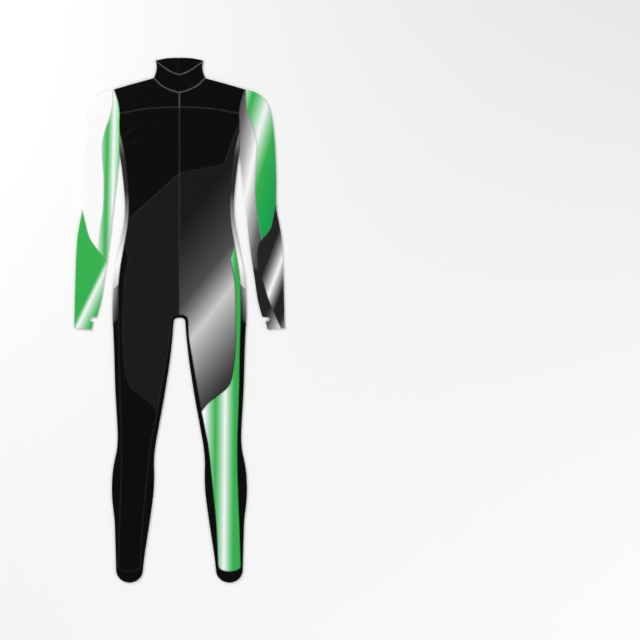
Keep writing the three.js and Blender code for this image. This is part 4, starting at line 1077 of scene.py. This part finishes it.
tooth, tooth_quads = rounded_block(TOOTH_HALF, 0.55, 5, 10)
tooth[:, 1] *= 0.76 + 0.26 * (tooth[:, 0] / TOOTH_HALF[0]) ** 2
count = int((CHAIN_TOP - CHAIN_BOTTOM) / TOOTH_PITCH)
parts = []
for number in range(count):
    hand = 1 if number % 2 else -1
    place = (hand * TOOTH_X, CHAIN_BOTTOM + (number + 0.5) * TOOTH_PITCH, CHAIN_LEVEL)
    parts.append((tooth + place, tooth_quads))
cord_levels = np.linspace(CHAIN_BOTTOM, CHAIN_TOP, CORD_POINTS)
for x in (-CORD_X, CORD_X):
    cord = np.column_stack([np.full(CORD_POINTS, x), cord_levels, np.full(CORD_POINTS, CHAIN_LEVEL)])
    parts.append(tube(cord, CORD_RADIUS, sides=8))
zip_pieces = [(add_piece("zip_teeth", *gather(parts), zip_plastic, merged=True), "zip_chain", "zip_tape")]

body, body_quads = rounded_block(SLIDER_HALF, 0.32, 25, 48)
body[:, 0] *= 0.86 + 0.14 * np.tanh(body[:, 1] / 2)
body[:, 0] *= 1 - 0.22 * np.exp(-((body[:, 2] / 0.3) ** 2))
zip_pieces.append((
    add_piece("zip_slider_body", body + (0, SLIDER_Y, SLIDER_HALF[2]), body_quads, zip_metal, merged=True),
    "zip_slider", "zip_metal",
))
block, block_quads = rounded_block(STOP_HALF, 0.4, 13, 28)
block[:, 2] *= 1 - 0.12 * np.exp(-((block[:, 1] / 0.5) ** 2))
zip_pieces.append((
    add_piece("zip_end_stop", block + (0, STOP_Y, CHAIN_LEVEL), block_quads, zip_metal, merged=True),
    "zip_stop", "zip_metal",
))

# The guard lies on the inside of both back panels and rises over the chain and the slider
across = np.linspace(-GUARD_HALF_WIDTH, GUARD_HALF_WIDTH, GUARD_COLUMNS)
down = np.linspace(GUARD_TOP, GUARD_BOTTOM, GUARD_ROWS)
x, y = (axis.ravel() for axis in np.meshgrid(across, down))
plan = np.column_stack([np.abs(x), y])
under = np.where(x > 0, surface(plan, LEFT, BACK), surface(plan, RIGHT, BACK))
rise = CHAIN_RISE * np.exp(-((x / CHAIN_REACH) ** 2)) + SLIDER_RISE * ramp((y - SLIDER_RISE_Y) / SLIDER_REACH)
top = under + CLOTH + GUARD_GAP + rise + GUARD_WALL
guard_quads = grid_quads(GUARD_ROWS, GUARD_COLUMNS)
guard = add_piece("zip_guard", np.column_stack([x, y, top]), guard_quads, cloth["black"])
add_wall(guard, GUARD_WALL)

# Each piece's slot, flat width and length in metres, and what it lies on
DECLARED = {
    "collar": ("black_cloth", 0.32, 0.12, ["zip_guard"]),
    "yoke": ("black_cloth", 0.21, 0.11, ["back"]),
    "chest": ("black_cloth", 0.21, 0.35, ["back"]),
    "front_lower_right": ("charcoal_cloth", 0.21, 0.89, ["back"]),
    "front_lower_left": ("silver_cloth", 0.21, 0.89, ["back"]),
    "front_leg_right": ("black_cloth", 0.13, 1.0, ["back"]),
    "front_leg_left": ("green_cloth", 0.13, 1.0, ["back"]),
    "side_panel": ("silver_cloth", 0.14, 0.62, ["floor"]),
    "hip_tab": ("silver_cloth", 0.022, 0.112, ["side_panel"]),
    "back": ("black_cloth", 0.24, 1.52, ["floor"]),
    "foot_cap": ("black_cloth", 0.09, 0.11, ["floor"]),
    "sleeve_right_outer": ("white_cloth", 0.13, 0.52, ["floor"]),
    "sleeve_right_inner": ("green_cloth", 0.11, 0.54, ["floor"]),
    "sleeve_right_forearm": ("green_cloth", 0.19, 0.38, ["floor"]),
    "sleeve_left_outer": ("green_cloth", 0.13, 0.49, ["floor"]),
    "sleeve_left_inner": ("silver_cloth", 0.11, 0.56, ["floor"]),
    "sleeve_left_forearm_outer": ("silver_cloth", 0.14, 0.40, ["floor"]),
    "sleeve_left_forearm_inner": ("black_cloth", 0.09, 0.20, ["floor"]),
}

# Floor, light and camera
floor_finish = Finish("pale_floor", Roughness=0.85, Specular_IOR_Level=0.1)
floor_finish.feed(Base_Color=(0.93, 0.93, 0.93, 1.0))
floor_mesh = bpy.data.meshes.new("floor")
FLOOR_REACH, FLOOR_Z = 8.0, -0.00045       # in metres; just below the lowest thread
corners = [(x * FLOOR_REACH, y * FLOOR_REACH, FLOOR_Z) for x, y in ((-1, -1), (1, -1), (1, 1), (-1, 1))]
floor_mesh.from_pydata(corners, [], [(0, 1, 2, 3)])
floor_mesh.materials.append(floor_finish.material)
floor = bpy.data.objects.new("floor", floor_mesh)
bpy.context.scene.collection.objects.link(floor)

def softbox(name, place, target, size, power):
    """A square area light that faces a point."""
    lamp = bpy.data.lights.new(name, "AREA")
    lamp.size = size
    lamp.energy = power
    box = bpy.data.objects.new(name, lamp)
    box.location = place
    aim = np.array(target, float) - np.array(place, float)
    box.rotation_euler = Vector(aim).to_track_quat("-Z", "Y").to_euler()
    bpy.context.scene.collection.objects.link(box)

softbox("key", (-2.6, 1.9, 2.4), (0.1, 0, 0), 1.6, 93)
softbox("fill", (3.0, -0.9, 2.6), (0.1, 0, 0), 2.2, 49)
softbox("foot_light", (0.2, -3.2, 2.2), (0.1, -0.3, 0), 1.8, 32)
world = bpy.data.worlds.new("studio")
world.use_nodes = True
world.node_tree.nodes["Background"].inputs["Color"].default_value = (1, 1, 1, 1)
world.node_tree.nodes["Background"].inputs["Strength"].default_value = 0.38
bpy.context.scene.world = world
bpy.context.scene.view_settings.view_transform = "Standard"

VIEW_WIDTH = 1.952                         # in metres: 640 pixels of 3.05 mm
VIEW_X, VIEW_Y = 0.4288, 0.0008
lens = bpy.data.cameras.new("camera")
lens.lens, lens.sensor_width = 200, 36
camera = bpy.data.objects.new("camera", lens)
camera.location = (VIEW_X, VIEW_Y, SUIT_HEIGHT * MM + VIEW_WIDTH * lens.lens / lens.sensor_width)
bpy.context.scene.collection.objects.link(camera)
bpy.context.scene.camera = camera

# Every piece rides on the suit, and the cloth and zip pieces stand for their solids
for piece in stitch_pieces:
    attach(piece, "root")
for name, piece in suit_pieces.items():
    label = name.rsplit("_", 1)[-1]
    base = name if name in DECLARED else name.rsplit("_", 1)[0]
    slot, width, length, under = DECLARED[base]
    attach(piece, "root")
    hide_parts(name)
    rests = [u + "_" + label + "_cloth" if u in ("back", "side_panel") else u for u in under]

for piece, node, slot in zip_pieces:
    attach(piece, "root")
    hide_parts(node)
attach(guard, "root")
for name in ("zip_tape_right", "zip_tape_left"):
    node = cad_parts[name]
    node.data.materials.clear()
    node.data.materials.append(tape)
